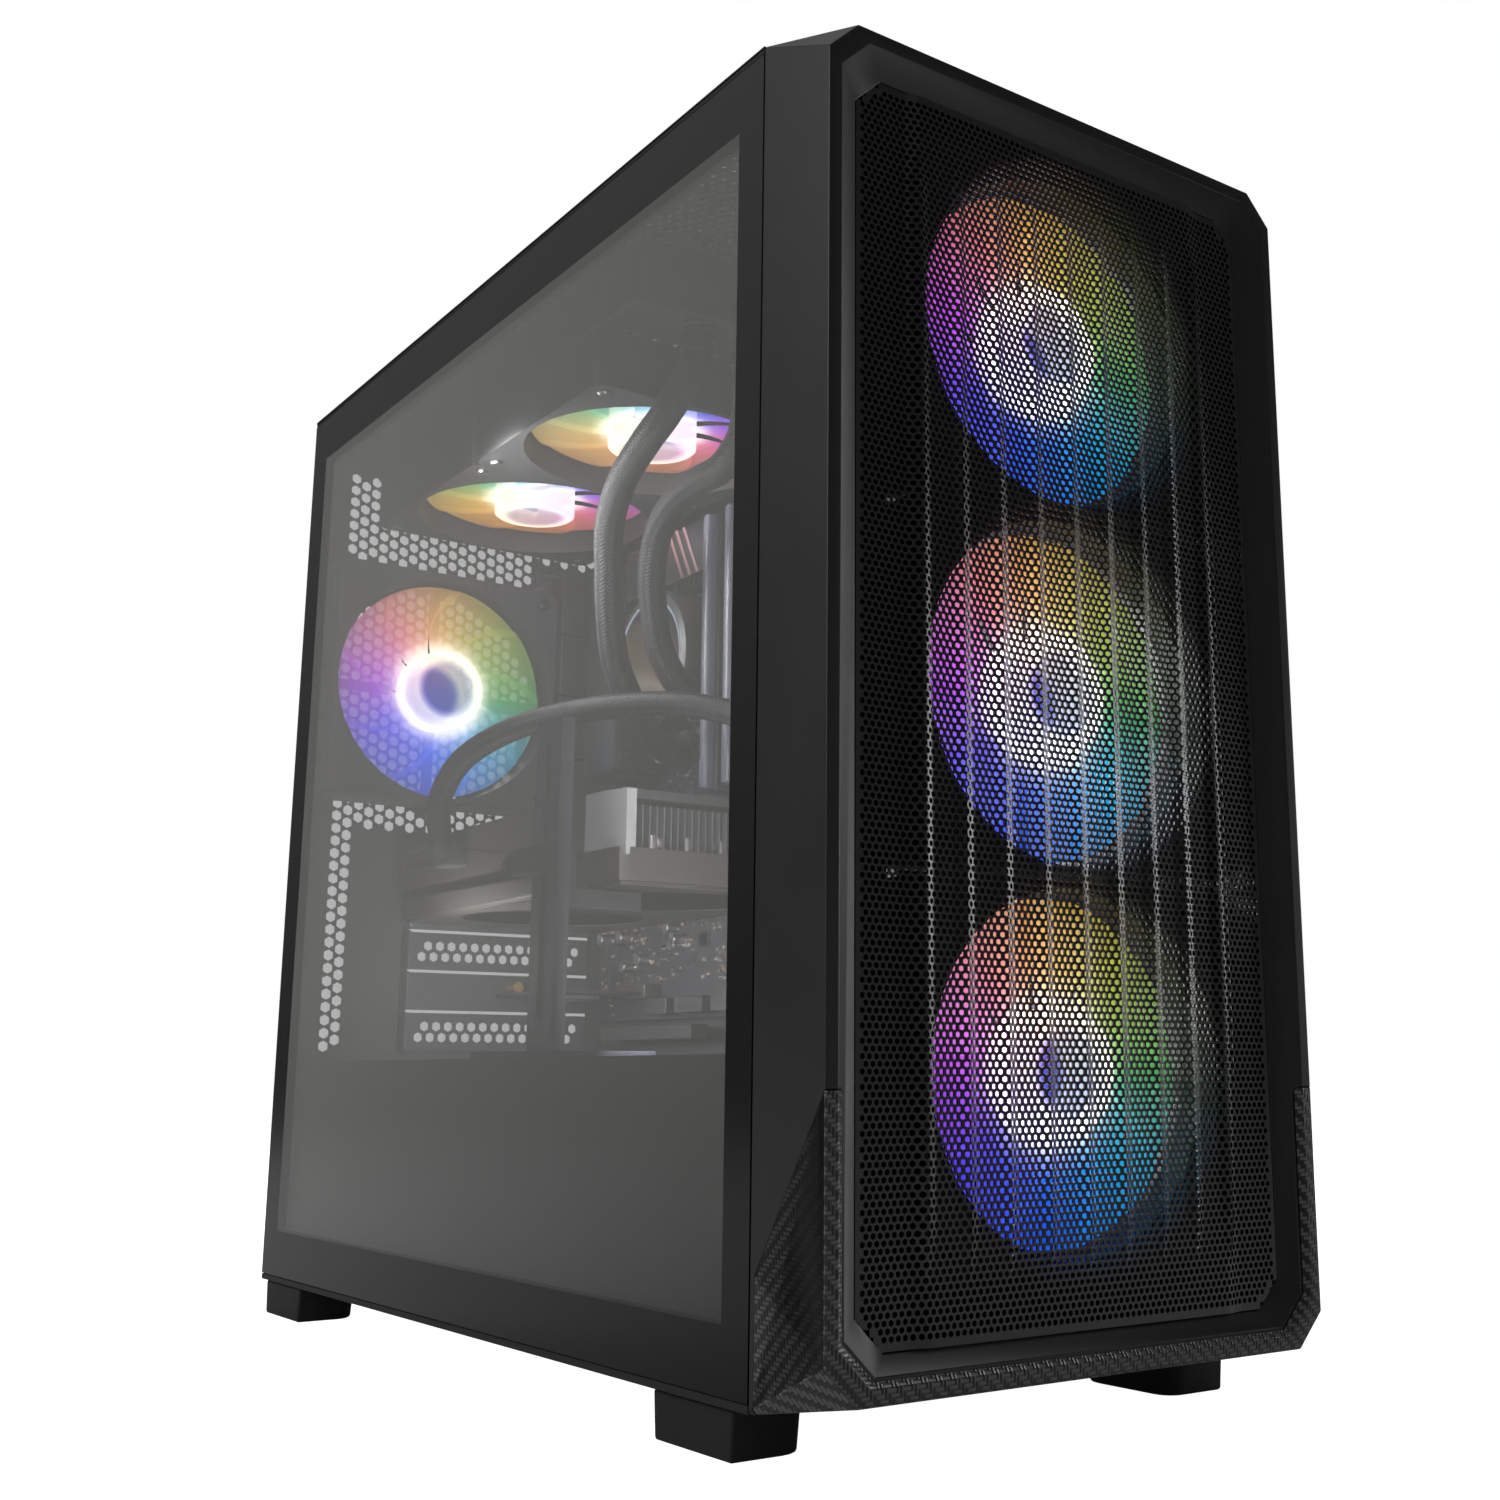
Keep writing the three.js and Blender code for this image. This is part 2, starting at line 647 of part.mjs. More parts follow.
function makeSmallCards() {
  const perforation = [0, 1, 2, 3, 4, 5, 6].map((index) => slotLeft + 12 + index * 11.5);
  for (const [name, slotIndex] of Object.entries({ upper: 2, lower: 4 })) {
    const middle = slotTop - (slotIndex + 0.5) * slotPitch;
    const holes = perforation.map((x) => bar('y', middle, x, 3.4, rearInner - 4, rearInner + past, 6));
    place(`slot_cover_${name}`, blackSteel, cut(bracket(slotIndex), ...holes));
  }
  const wifiFoot = slotTop - 4 * slotPitch + 8;
  const card = block(boardX - 58, boardX - 2, rearInner - 70, rearInner - gap - 0.5, wifiFoot,
    wifiFoot + boardThickness);
  const aerials = [boardX - 30, boardX - 48].map((x) => (
    bar('y', wifiFoot + 5, x, 3, rearInner - 8, rearFace + 6, 12)));
  place('wireless_card', circuit, join(bracket(3), card, ...aerials));
  const drift = boardX - 65;
  const rise = boardTop - 381;
  const back = boardRear - 450;
  const route = cardCableRoute.map(([x, y, z]) => [x + drift, y + back, z + rise]);
  place('card_power_cable', tubing, tube(route, 5.5, 30));
}

// ---- Card support: a slotted post on the shroud with a sliding arm and a knob ----

function makeCardSupport() {
  const postFront = boardRear - 225;
  const postWidth = 22;
  const postRear = postFront + postWidth;
  const postLeft = boardX - 139;
  const postRight = postLeft + 6;
  const foot = shroudTop + gap;
  const postTop = slotTop + 29;
  const slotHalf = 2.8;
  const middle = postFront + postWidth / 2;
  const post = block(postLeft, postRight, postFront, postRear, foot, postTop);
  const way = block(postLeft - past, postRight + past, middle - slotHalf, middle + slotHalf,
    foot + 14, postTop - 10);
  const base = block(postLeft - 10, postRight + 26, postFront - 26, postRear + 30, foot, foot + 2.4);
  place('card_support_post', blackSteel, join(cut(post, way), base));

  // The carrier slides on the post's outside, and its shelf hangs inside, under the card.
  const shelfTop = slotTop - cardThickness - 1;
  const shelfFoot = shelfTop - 8;
  const carrierFoot = shelfTop + 5;
  const carrierTop = carrierFoot + 11;
  const carrierHalf = 13;
  const tongue = slotHalf - gap;
  const inside = postRight + gap;
  const carrier = block(postLeft - 9, postLeft - gap, middle - carrierHalf, middle + carrierHalf,
    carrierFoot, carrierTop);
  const stem = block(postLeft - 1, inside + 1, middle - tongue, middle + tongue, carrierFoot,
    carrierTop);
  const drop = block(inside, inside + 4, middle - 8, middle + 8, shelfFoot, carrierTop);
  const shelf = block(inside, inside + 34, middle - 8, middle + 8, shelfFoot, shelfTop);
  place('card_support_arm', satinPlastic, join(carrier, stem, drop, shelf));
  const knobFront = middle + carrierHalf + gap;
  place('card_support_knob', blackPlastic, bar('y', (carrierFoot + carrierTop) / 2, postLeft - 5, 5,
    knobFront, knobFront + 6, 18));
}

// ---- Power supply ----

const supplyLeft = trayFace + 5 - supplyWidth;

function makeSupply() {
  const rear = rearInner - gap;
  const front = rear - supplyLength;
  const foot = innerFoot;
  const top = foot + supplyHeight;
  const centreX = supplyLeft + supplyWidth / 2;
  const centreY = (front + rear) / 2;
  const well = 18;
  const box = block(supplyLeft, supplyLeft + supplyWidth, front, rear, foot, top);
  const fanWell = bar('z', centreX, centreY, fanBore, foot - past, foot + well, 36);
  const inletX = supplyLeft + 34;
  const inletZ = foot + supplyHeight / 2;
  const inlet = block(inletX - 13.8, inletX + 13.8, rear - 15, rear + past, inletZ - 10,
    inletZ + 10);
  const rockerX = inletX + 34;
  const rockerWell = block(rockerX - 7, rockerX + 7, rear - 9, rear + past, inletZ - 10.5,
    inletZ + 10.5);
  place('power_supply', blackSteel, cut(box, fanWell, inlet, rockerWell));

  const group = new THREE.Group();
  group.position.set(centreX, centreY, foot + 2);
  tower.add(group);
  place('supply_fan_rotor', blackPlastic, rotor(fanHub - 1, bladeTip, well - 4, 9, 0.36), group);

  // The rocker turns about x, at the middle of its back, and its two halves slope away.
  const rocker = prism('x', [
    [rear - 6, inletZ - 9], [rear + 0.4, inletZ - 9], [rear - 1.2, inletZ], [rear + 0.4, inletZ + 9],
    [rear - 6, inletZ + 9], [rear - 7.5, inletZ],
  ], rockerX - 6.4, rockerX + 6.4);
  place('supply_rocker', blackPlastic, rocker);
}

// ---- Bezel, mesh and trim ----

// An eight-cornered ring at one depth, given its four edges and how far its corners are cut.
function octagon(y, side, foot, top, corner) {
  const points = [];
  for (const [x, inward] of [[-side, 1], [side, -1]]) {
    for (const [z, up] of [[foot, 1], [top, -1]]) {
      points.push(new THREE.Vector3(x + inward * corner, y, z));
      points.push(new THREE.Vector3(x, y, z + up * corner));
    }
  }
  return points;
}

// The bezel's outside moved inwards by one distance on every face but its back.
function bezelOutside(inward, back) {
  return new ConvexGeometry([
    ...octagon(inward, rimWidth / 2 - inward, bottomFace + rimInset + inward,
      caseTop - rimInset - inward, cornerCut),
    ...octagon(back, halfWidth - inward, bottomFace + inward, caseTop - inward, squareCut),
  ]);
}

function bezelMouth(extra) {
  const side = halfWidth - meshMargin + extra;
  const foot = bottomFace + meshMarginZ - extra;
  const top = caseTop - meshMarginZ + extra;
  const rimSide = rimWidth / 2 - rimFlat;
  const slope = (rimSide - side) / funnelDepth;
  const rimFoot = bottomFace + rimInset + rimFlat;
  const rimTop = caseTop - rimInset - rimFlat;
  const slopeZ = (foot - rimFoot) / funnelDepth;
  const funnel = new ConvexGeometry([
    ...octagon(-past, rimSide + slope, rimFoot - slopeZ, rimTop + slopeZ, cornerCut),
    ...octagon(funnelDepth, side, foot, top, meshCornerCut),
  ]);
  const throat = new ConvexGeometry([
    ...octagon(funnelDepth - 0.5, side, foot, top, meshCornerCut),
    ...octagon(bezelDepth + past, side, foot, top, meshCornerCut),
  ]);
  return join(funnel, throat);
}

// The lower wedge that the trim covers, seen from the side as (y, z).
function trimWedge(clearance) {
  return prism('x', [
    [-past, bottomFace - past], [bezelDepth - trimRearInset + clearance, bottomFace - past],
    [bezelDepth - trimRearInset + clearance, trimRearTop + clearance],
    [1, trimApex + clearance], [-past, trimApex + clearance],
  ], -halfWidth - past, halfWidth + past);
}

function makeBezel() {
  const shell = bezelOutside(0, bezelDepth);
  const mouth = bezelMouth(0);
  const hollow = new ConvexGeometry([
    ...octagon(funnelDepth + 3, halfWidth - meshMargin + 5, bottomFace + meshMarginZ - 5,
      caseTop - meshMarginZ + 5, meshCornerCut),
    ...octagon(bezelDepth + past, halfWidth - bezelWall, bottomFace + bezelWall,
      caseTop - bezelWall, squareCut),
  ]);
  const skin = cut(shell, bezelOutside(trimThickness, bezelDepth + past));
  const seat = cut(shell, bezelOutside(trimThickness + gap, bezelDepth + past));
  const trim = cut(common(skin, trimWedge(0)), mouth);
  const body = cut(shell, mouth, hollow, common(seat, trimWedge(gap)));
  place('front_bezel', satinPlastic, body);
  place('carbon_trim', carbon, trim);
}

// The mesh is a thin sheet: two flat margins with the middle folded forward.
function makeMesh() {
  const side = halfWidth - meshMargin - gap;
  const foot = bottomFace + meshMarginZ + gap;
  const top = caseTop - meshMarginZ - gap;
  const back = funnelDepth + meshSheet;
  const fold = side - meshFoldIn;
  const slant = 6;
  const sheetShape = prism('z', [
    [-side, back], [-side, back - meshSheet], [-fold - slant, back - meshSheet],
    [-fold, back - meshSheet - meshFoldRise], [fold, back - meshSheet - meshFoldRise],
    [fold + slant, back - meshSheet], [side, back - meshSheet], [side, back],
    [fold + slant, back], [fold, back - meshFoldRise], [-fold, back - meshFoldRise],
    [-fold - slant, back],
  ], foot, top);
  const outline = new ConvexGeometry([
    ...octagon(-past, side, foot, top, meshCornerCut),
    ...octagon(back + past, side, foot, top, meshCornerCut),
  ]);
  place('front_mesh', meshSteel, common(sheetShape, outline));
}

// ---- Side panels and their captive thumbscrews ----

const thumbX = halfWidth - thumbInset;
const thumbPlaces = [];
for (const x of [-thumbX, thumbX]) {
  for (const z of [glassFoot + thumbFromEnd, glassTop - thumbFromEnd]) {
    thumbPlaces.push([x, z]);
  }
}

function makeSidePanels() {
  const paneRear = sideRear - sheet - gap;
  place('glass_pane', glassTint, block(-halfWidth, -halfWidth + glassThickness, sideFront, paneRear,
    glassFoot, glassTop));

  const outer = -halfWidth + glassThickness + gap;
  const face = block(outer, outer + sheet, sideFront + 2, sideRear, glassFoot + 1, glassTop - 1);
  const view = block(outer - past, outer + sheet + past, sideFront + windowFront,
    paneRear - windowRear, glassFoot + windowFoot, glassTop - windowTop);
  const flange = block(outer, outer + flangeWidth, sideRear - sheet, sideRear, glassFoot + 1,
    glassTop - 1);
  const holes = thumbPlaces.map(([x, z]) => (
    bar('y', z, x, thumbHole, sideRear - sheet - past, sideRear + past, 10)));
  place('glass_frame', blackSteel, cut(join(cut(face, view), flange), ...holes));

  const plate = block(halfWidth - sheet, halfWidth, sideFront, sideRear, glassFoot, glassTop);
  const turned = block(halfWidth - flangeWidth, halfWidth, sideRear - sheet, sideRear, glassFoot,
    glassTop);
  place('right_panel', blackSteel, cut(join(plate, turned), ...holes));

  const names = ['glass_lower', 'glass_upper', 'right_lower', 'right_upper'];
  thumbPlaces.forEach(([x, z], index) => {
    const head = bar('y', z, x, thumbRadius, sideRear + gap, sideRear + gap + thumbHead, 18);
    const shank = bar('y', z, x, thumbShank, sideRear + gap - thumbLength, sideRear + gap + 1, 10);
    place(`thumbscrew_${names[index]}`, blackSteel, join(head, shank));
  });
}

makeFeet();
makeBottomPanel();
makeTopPanel();
makeControls();
makeRearPanel();
makeFrontWall();
makeTray();
makeShroud();
makeFans();
makeRadiator();
makePump();
makeTubes();
makeMainboard();
makeGraphicsCard();
makeSmallCards();
makeCardSupport();
makeSupply();
makeBezel();
makeMesh();
makeSidePanels();

export default tower;
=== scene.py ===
import json
import math

import bmesh
import bpy
import numpy as np
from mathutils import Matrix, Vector
from mathutils.geometry import delaunay_2d_cdt

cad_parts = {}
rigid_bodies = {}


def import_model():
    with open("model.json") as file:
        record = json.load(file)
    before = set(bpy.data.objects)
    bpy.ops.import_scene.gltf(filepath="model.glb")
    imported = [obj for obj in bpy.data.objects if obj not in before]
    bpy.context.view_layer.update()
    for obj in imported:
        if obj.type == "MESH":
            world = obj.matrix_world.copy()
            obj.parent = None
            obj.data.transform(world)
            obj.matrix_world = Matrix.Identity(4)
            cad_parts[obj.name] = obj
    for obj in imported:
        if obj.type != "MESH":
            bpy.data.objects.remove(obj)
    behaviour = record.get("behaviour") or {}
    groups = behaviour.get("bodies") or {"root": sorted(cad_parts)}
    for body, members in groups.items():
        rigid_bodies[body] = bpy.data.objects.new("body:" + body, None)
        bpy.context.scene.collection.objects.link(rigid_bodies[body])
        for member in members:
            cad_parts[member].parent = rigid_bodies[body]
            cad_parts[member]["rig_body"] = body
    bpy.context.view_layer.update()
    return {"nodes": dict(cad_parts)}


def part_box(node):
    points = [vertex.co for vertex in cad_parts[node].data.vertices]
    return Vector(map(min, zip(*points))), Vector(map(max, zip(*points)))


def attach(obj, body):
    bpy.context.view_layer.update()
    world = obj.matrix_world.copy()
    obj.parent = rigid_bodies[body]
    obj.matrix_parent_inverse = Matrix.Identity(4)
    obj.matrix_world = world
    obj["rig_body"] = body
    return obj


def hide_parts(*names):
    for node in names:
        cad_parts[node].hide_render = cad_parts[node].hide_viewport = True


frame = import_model()
print("frame loaded:", len(frame["nodes"]), "nodes")

mm = 0.001
fullTurn = 2 * math.pi


def corners(node):
    # the lowest and highest corner of a CAD node, as two rows
    low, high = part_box(node)
    return np.array(low), np.array(high)


# Surfaces. Each is a pair: points (n, 3) and a list of face arrays, all of one width.

def axisOrder(axis):
    # which of x, y, z the two outline numbers and the height go to
    return {"x": (1, 2, 0), "y": (2, 0, 1), "z": (0, 1, 2)}[axis]


def onAxis(outline, height, axis):
    # point = (first, second, height), put on x, y and z in the axis's own order
    shape = np.broadcast_shapes(outline.shape[:-1], np.shape(height))
    points = np.empty(shape + (3,))
    first, second, third = axisOrder(axis)
    points[..., first] = outline[..., 0]
    points[..., second] = outline[..., 1]
    points[..., third] = height
    return points


def gridQuads(rows, columns, closedRows=False, closedColumns=True):
    # quads between each row of points and the next
    index = np.arange(rows * columns).reshape(rows, columns)
    if closedRows:
        index = np.concatenate([index, index[:1]])
    if closedColumns:
        index = np.concatenate([index, index[:, :1]], axis=1)
    quads = np.stack([index[:-1, :-1], index[:-1, 1:], index[1:, 1:], index[1:, :-1]], -1)
    return quads.reshape(-1, 4)


def loft(loops, closed=False):
    # closed loops of points joined one after the other, with a flat face over each open end
    rows, columns = loops.shape[:2]
    faces = [gridQuads(rows, columns, closed)]
    if not closed:
        ends = np.arange(rows * columns).reshape(rows, columns)
        faces.append(np.stack([ends[0, ::-1], ends[-1]]))
    return loops.reshape(-1, 3), faces


def loftMany(loops):
    # several lofts of one size at once: loops is (pieces, rows, columns, 3)
    count, rows, columns = loops.shape[:3]
    faces = loft(loops[0])[1]
    shift = (np.arange(count) * rows * columns)[:, None, None]
    return loops.reshape(-1, 3), [(one[None] + shift).reshape(-1, one.shape[1]) for one in faces]


def roundCorners(half, radius, steps=3):
    # quarter circles round the four inner corners: corner + radius (cos t, sin t)
    half = np.asarray(half, float)
    radius = np.asarray(radius, float)
    quarter = np.linspace(0, math.pi / 2, steps)
    turn = (np.arange(4)[:, None] * math.pi / 2 + quarter).ravel()
    signs = np.repeat(np.array([[1, 1], [-1, 1], [-1, -1], [1, -1]]), steps, axis=0)
    circle = np.stack([np.cos(turn), np.sin(turn)], -1)
    return signs * (half - radius[..., None])[..., None, :] + radius[..., None, None] * circle


def softBoxes(lows, highs, axis="z", corner=0.0, edge=0.4 * mm, steps=3, rise=2):
    # boxes with round corners seen along the axis, drawn in by a quarter circle at both ends
    lows, highs = np.atleast_2d(lows).astype(float), np.atleast_2d(highs).astype(float)
    first, second, third = axisOrder(axis)
    pick = [first, second]
    half = (highs - lows)[:, pick] / 2
    middle = (highs + lows)[:, pick] / 2
    limit = np.minimum(half.min(1), (highs - lows)[:, third] / 2) * 0.98
    edges = np.minimum(edge, limit)
    rounds = np.clip(np.full(len(lows), corner), edges, half.min(1) * 0.999)
    turn = np.linspace(0, math.pi / 2, rise)
    inset = edges[:, None] * np.concatenate([1 - np.sin(turn), (1 - np.sin(turn))[::-1]])
    lift = edges[:, None] * (1 - np.cos(turn))
    heights = np.concatenate([lows[:, third, None] + lift, (highs[:, third, None] - lift)[:, ::-1]], 1)
    outline = roundCorners(half[:, None, :] - inset[..., None], rounds[:, None] - inset * 0.999, steps)
    outline = outline + middle[:, None, None, :]
    return loftMany(onAxis(outline, heights[..., None], axis))


def box(x0, x1, y0, y1, z0, z1, **how):
    # one soft box between two x, two y and two z values, in metres
    return softBoxes([[x0, y0, z0]], [[x1, y1, z1]], **how)


def outlinePrism(outline, low, high, axis, edge=0.0):
    # an outline carried along an axis; with an edge, its ends are drawn towards its middle a little
    outline = np.asarray(outline, float)
    middle = outline.mean(0)
    reach = np.linalg.norm(outline - middle, axis=1).max()
    share = np.array([1 - edge / reach, 1, 1, 1 - edge / reach])
    heights = np.array([low, low + edge, high - edge, high])
    if not edge:
        share, heights = share[[0, 3]], heights[[0, 3]]
    loops = middle + (outline - middle) * share[:, None, None]
    return loft(onAxis(loops, heights[:, None], axis))


def lathe(profile, centre, axis, sides=32, wobble=None):
    # radius and height pairs turned round an axis: centre + r (cos a, sin a), wobble(a) scales r
    profile = np.asarray(profile, float)
    angle = np.linspace(0, fullTurn, sides, endpoint=False)
    scale = np.ones(sides) if wobble is None else wobble(angle)
    ring = np.stack([np.cos(angle), np.sin(angle)], -1) * scale[:, None]
    radius = np.maximum(profile[:, 0], 1e-6)
    loops = onAxis(radius[:, None, None] * ring, profile[:, 1, None], axis)
    return loft(loops + np.asarray(centre, float))


def lathes(profile, centres, axis, sides=12):
    # the same turned profile at many places
    points, faces = lathe(profile, (0, 0, 0), axis, sides)
    centres = np.atleast_2d(centres)
    shift = (np.arange(len(centres)) * len(points))[:, None, None]
    many = (points[None] + centres[:, None]).reshape(-1, 3)
    return many, [(one[None] + shift).reshape(-1, one.shape[1]) for one in faces]


def smoothPath(points, count):
    # centripetal Catmull-Rom curve: each stretch is a cubic whose end slopes come from its neighbours
    known = np.asarray(points, float)
    known = np.concatenate([[2 * known[0] - known[1]], known, [2 * known[-1] - known[-2]]])
    gaps = np.linalg.norm(np.diff(known, axis=0), axis=1)[:, None] ** 0.5
    before, here, after = gaps[:-2], gaps[1:-1], gaps[2:]
    p0, p1, p2, p3 = known[:-3], known[1:-2], known[2:-1], known[3:]
    slope1 = ((p1 - p0) / before - (p2 - p0) / (before + here) + (p2 - p1) / here) * here
    slope2 = ((p2 - p1) / here - (p3 - p1) / (here + after) + (p3 - p2) / after) * here
    place = np.linspace(0, len(p1) - 1e-9, count)
    part = place.astype(int)
    t = (place - part)[:, None]
    cubic = (2 * p1 - 2 * p2 + slope1 + slope2)[part] * t ** 3
    square = (-3 * p1 + 3 * p2 - 2 * slope1 - slope2)[part] * t ** 2
    return cubic + square + slope1[part] * t + p1[part]


def alongPath(path):
    # unit tangents, and two directions square to them that turn as little as they can
    tangent = np.gradient(path, axis=0)
    tangent /= np.linalg.norm(tangent, axis=1)[:, None]
    side = np.zeros_like(path)
    guess = np.eye(3)[np.argmin(np.abs(tangent[0]))]
    for step, forward in enumerate(tangent):
        guess = guess - forward * guess.dot(forward)
        guess = guess / np.linalg.norm(guess)
        side[step] = guess
    return tangent, side, np.cross(tangent, side)


def sweptTube(path, radius, sides=12):
    # circle of one radius (or one for each point) carried along a path
    path = np.asarray(path, float)
    _, side, up = alongPath(path)
    angle = np.linspace(0, fullTurn, sides, endpoint=False)
    reach = np.broadcast_to(radius, len(path))[:, None, None]
    ring = side[:, None] * np.cos(angle)[:, None] + up[:, None] * np.sin(angle)[:, None]
    return loft(path[:, None] + reach * ring)


def thicken(front, faceSets, shift):
    # a sheet and its copy moved by shift, joined by walls along every open edge
    total = len(front)
    faceSets = [faces for faces in faceSets if len(faces)]
    pairs = [np.stack([faces, np.roll(faces, -1, 1)], -1).reshape(-1, 2) for faces in faceSets]
    sides = np.concatenate(pairs)
    key = np.sort(sides, 1)
    _, back, count = np.unique(key[:, 0] * total + key[:, 1], return_inverse=True, return_counts=True)
    rim = sides[count[back] == 1]
    walls = np.stack([rim[:, 1], rim[:, 0], rim[:, 0] + total, rim[:, 1] + total], -1)
    behind = [faces[:, ::-1] + total for faces in faceSets]
    return np.concatenate([front, front + np.asarray(shift)]), [*faceSets, *behind, walls]


def hardBoxes(lows, highs):
    # many plain thin bars at once: every corner takes each value from the low or the high point
    pick = np.array([[i, j, k] for i in (0, 1) for j in (0, 1) for k in (0, 1)])
    points = np.where(pick[None] == 1, np.asarray(highs)[:, None], np.asarray(lows)[:, None])
    quads = np.array([[0, 1, 3, 2], [4, 6, 7, 5], [0, 4, 5, 1], [2, 3, 7, 6], [0, 2, 6, 4], [1, 5, 7, 3]])
    shift = (np.arange(len(points)) * 8)[:, None, None]
    return points.reshape(-1, 3), [(quads[None] + shift).reshape(-1, 4)]


def cutPlate(outline, holes, low, high, axis):
    # a flat sheet with holes: triangles between all outlines whose middle has an odd count of edges beside it
    loops = [np.asarray(loop, float) for loop in [outline, *holes]]
    flat = np.concatenate(loops)
    starts = np.cumsum([0] + [len(loop) for loop in loops])
    nextOne = np.arange(len(flat)) + 1
    nextOne[starts[1:] - 1] = starts[:-1]
    edges = np.stack([np.arange(len(flat)), nextOne], -1)
    made = delaunay_2d_cdt([Vector(p) for p in flat.tolist()], edges.tolist(), [], 1, 1e-7)
    points = np.array([tuple(p) for p in made[0]])
    triangles = np.array(made[2])
    middle = points[triangles].mean(1)
    a, b = flat, flat[nextOne]
    odd = np.zeros(len(middle), bool)
    for start in range(0, len(middle), 2000):
        u, v = middle[start:start + 2000, 0, None], middle[start:start + 2000, 1, None]
        across = (a[:, 1] > v) != (b[:, 1] > v)
        rise = np.where(a[:, 1] == b[:, 1], 1, b[:, 1] - a[:, 1])
        left = u < a[:, 0] + (v - a[:, 1]) * (b[:, 0] - a[:, 0]) / rise
        odd[start:start + 2000] = (across & left).sum(1) % 2 == 1
    points = onAxis(points, low, axis)
    return thicken(points, [triangles[odd]], onAxis(np.zeros(2), high - low, axis))


def circleLoop(centre, radius, sides=24, turn=0.0):
    # points on a circle: centre + radius x (cos a, sin a), once round from turn
    angle = np.linspace(0, fullTurn, sides, endpoint=False) + turn
    return np.array(centre) + radius * np.stack([np.cos(angle), np.sin(angle)], -1)


def rectLoop(u0, u1, v0, v1):
    # the four corners of a rectangle, in order round it
    return np.array([[u0, v0], [u1, v0], [u1, v1], [u0, v1]], float)


def brickLattice(width, height, pitch, hole, keep, rows=None):
    # staggered holes: hole centre = ((i + 1/2) p + odd-row half step, (j + 1/2) h); each lies in a cell
    # of six grid points, and keep(u, v) says which cells are open (1), plain (0) or left out (-1)
    columns = int(width / pitch - 0.5)
    count = max(1, round(height / (pitch * math.sqrt(3) / 2)))
    step, rise = width / (columns + 0.5) / 2, height / count
    first, last = rows or (0, count)
    gridU, gridV = np.meshgrid(np.arange(2 * columns + 2), np.arange(first, last + 1))
    grid = np.stack([gridU * step, gridV * rise], -1).reshape(-1, 2)
    j, i = np.meshgrid(np.arange(first, last), np.arange(columns), indexing="ij")
    corner = (j - first) * (2 * columns + 2) + 2 * i + j % 2
    above = corner + 2 * columns + 2
    cells = np.stack([above + 2, above + 1, above, corner, corner + 1, corner + 2], -1).reshape(-1, 6)
    centre = np.stack([(2 * i + 1 + j % 2) * step, (j + 0.5) * rise], -1).reshape(-1, 2)
    state = keep(centre[:, 0], centre[:, 1])
    opened, plain = cells[state == 1], cells[state == 0]
    around = np.radians(np.array([30, 90, 150, 210, 270, 330]))
    ring = hole * np.stack([np.cos(around), np.sin(around)], -1)
    holes = centre[state == 1][:, None] + ring
    inner = len(grid) + np.arange(holes.shape[0] * 6).reshape(-1, 6)
    faces = np.stack([opened, np.roll(opened, -1, 1), np.roll(inner, -1, 1), inner], -1).reshape(-1, 4)
    odd = np.arange(first, last)
    left = (odd - first) * (2 * columns + 2) + np.where(odd % 2 == 1, 0, 2 * columns)
    fill = np.stack([left, left + 1, left + 2 * columns + 3, left + 2 * columns + 2], -1)
    fillMiddle = grid[fill].mean(1)
    fill = fill[keep(fillMiddle[:, 0], fillMiddle[:, 1]) >= 0]
    return np.concatenate([grid, holes.reshape(-1, 2)]), [faces[:, ::-1], plain, fill]


# Making pieces

def pieceTitle(node):
    # each word of a node's name with a capital, joined: rear_fan gives RearFan
    return node.title().replace("_", "")


def addPiece(name, parts, material, body="chassis", replaced=(), smooth=32, recalc=True,
             uv=None):
    # puts the surfaces into one mesh, turns its faces outwards and makes it ride on its body
    rows, loops, sizes, shift = [], [], [], 0
    for points, faceSets in parts:
        rows.append(points)
        for faces in faceSets:
            if len(faces):
                loops.append((faces + shift).ravel())
                sizes.append(np.full(len(faces), faces.shape[1]))
        shift += len(points)
    used, loops = np.unique(np.concatenate(loops), return_inverse=True)
    points, sizes = np.concatenate(rows)[used], np.concatenate(sizes)
    mesh = bpy.data.meshes.new(name)
    mesh.vertices.add(len(points))
    mesh.vertices.foreach_set("co", points.astype(np.float32).ravel())
    mesh.loops.add(len(loops))
    mesh.loops.foreach_set("vertex_index", loops.astype(np.int32))
    mesh.polygons.add(len(sizes))
    mesh.polygons.foreach_set("loop_start", (np.cumsum(sizes) - sizes).astype(np.int32))
    mesh.update(calc_edges=True)
    if uv is not None and not isinstance(uv, str):
        mesh.uv_layers.new(name="weave").data.foreach_set("uv", uv.ravel())
        uv = None
    return dress(name, mesh, material, body, replaced, smooth, recalc, uv)


def dress(name, mesh, material, body, replaced, smooth, recalc, uv):
    # faces turned outwards, edges past the smooth angle kept sharp, then ride and replaces
    work = bmesh.new()
    work.from_mesh(mesh)
    if recalc:
        bmesh.ops.recalc_face_normals(work, faces=work.faces)
    work.to_mesh(mesh)
    work.free()
    mesh.shade_smooth()
    mesh.set_sharp_from_angle(angle=math.radians(smooth))
    mesh.materials.append(material)
    if uv == "box":
        boxUv(mesh)
    piece = bpy.data.objects.new(name, mesh)
    bpy.context.scene.collection.objects.link(piece)
    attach(piece, body)
    if replaced:
        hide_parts(*replaced)
    return piece


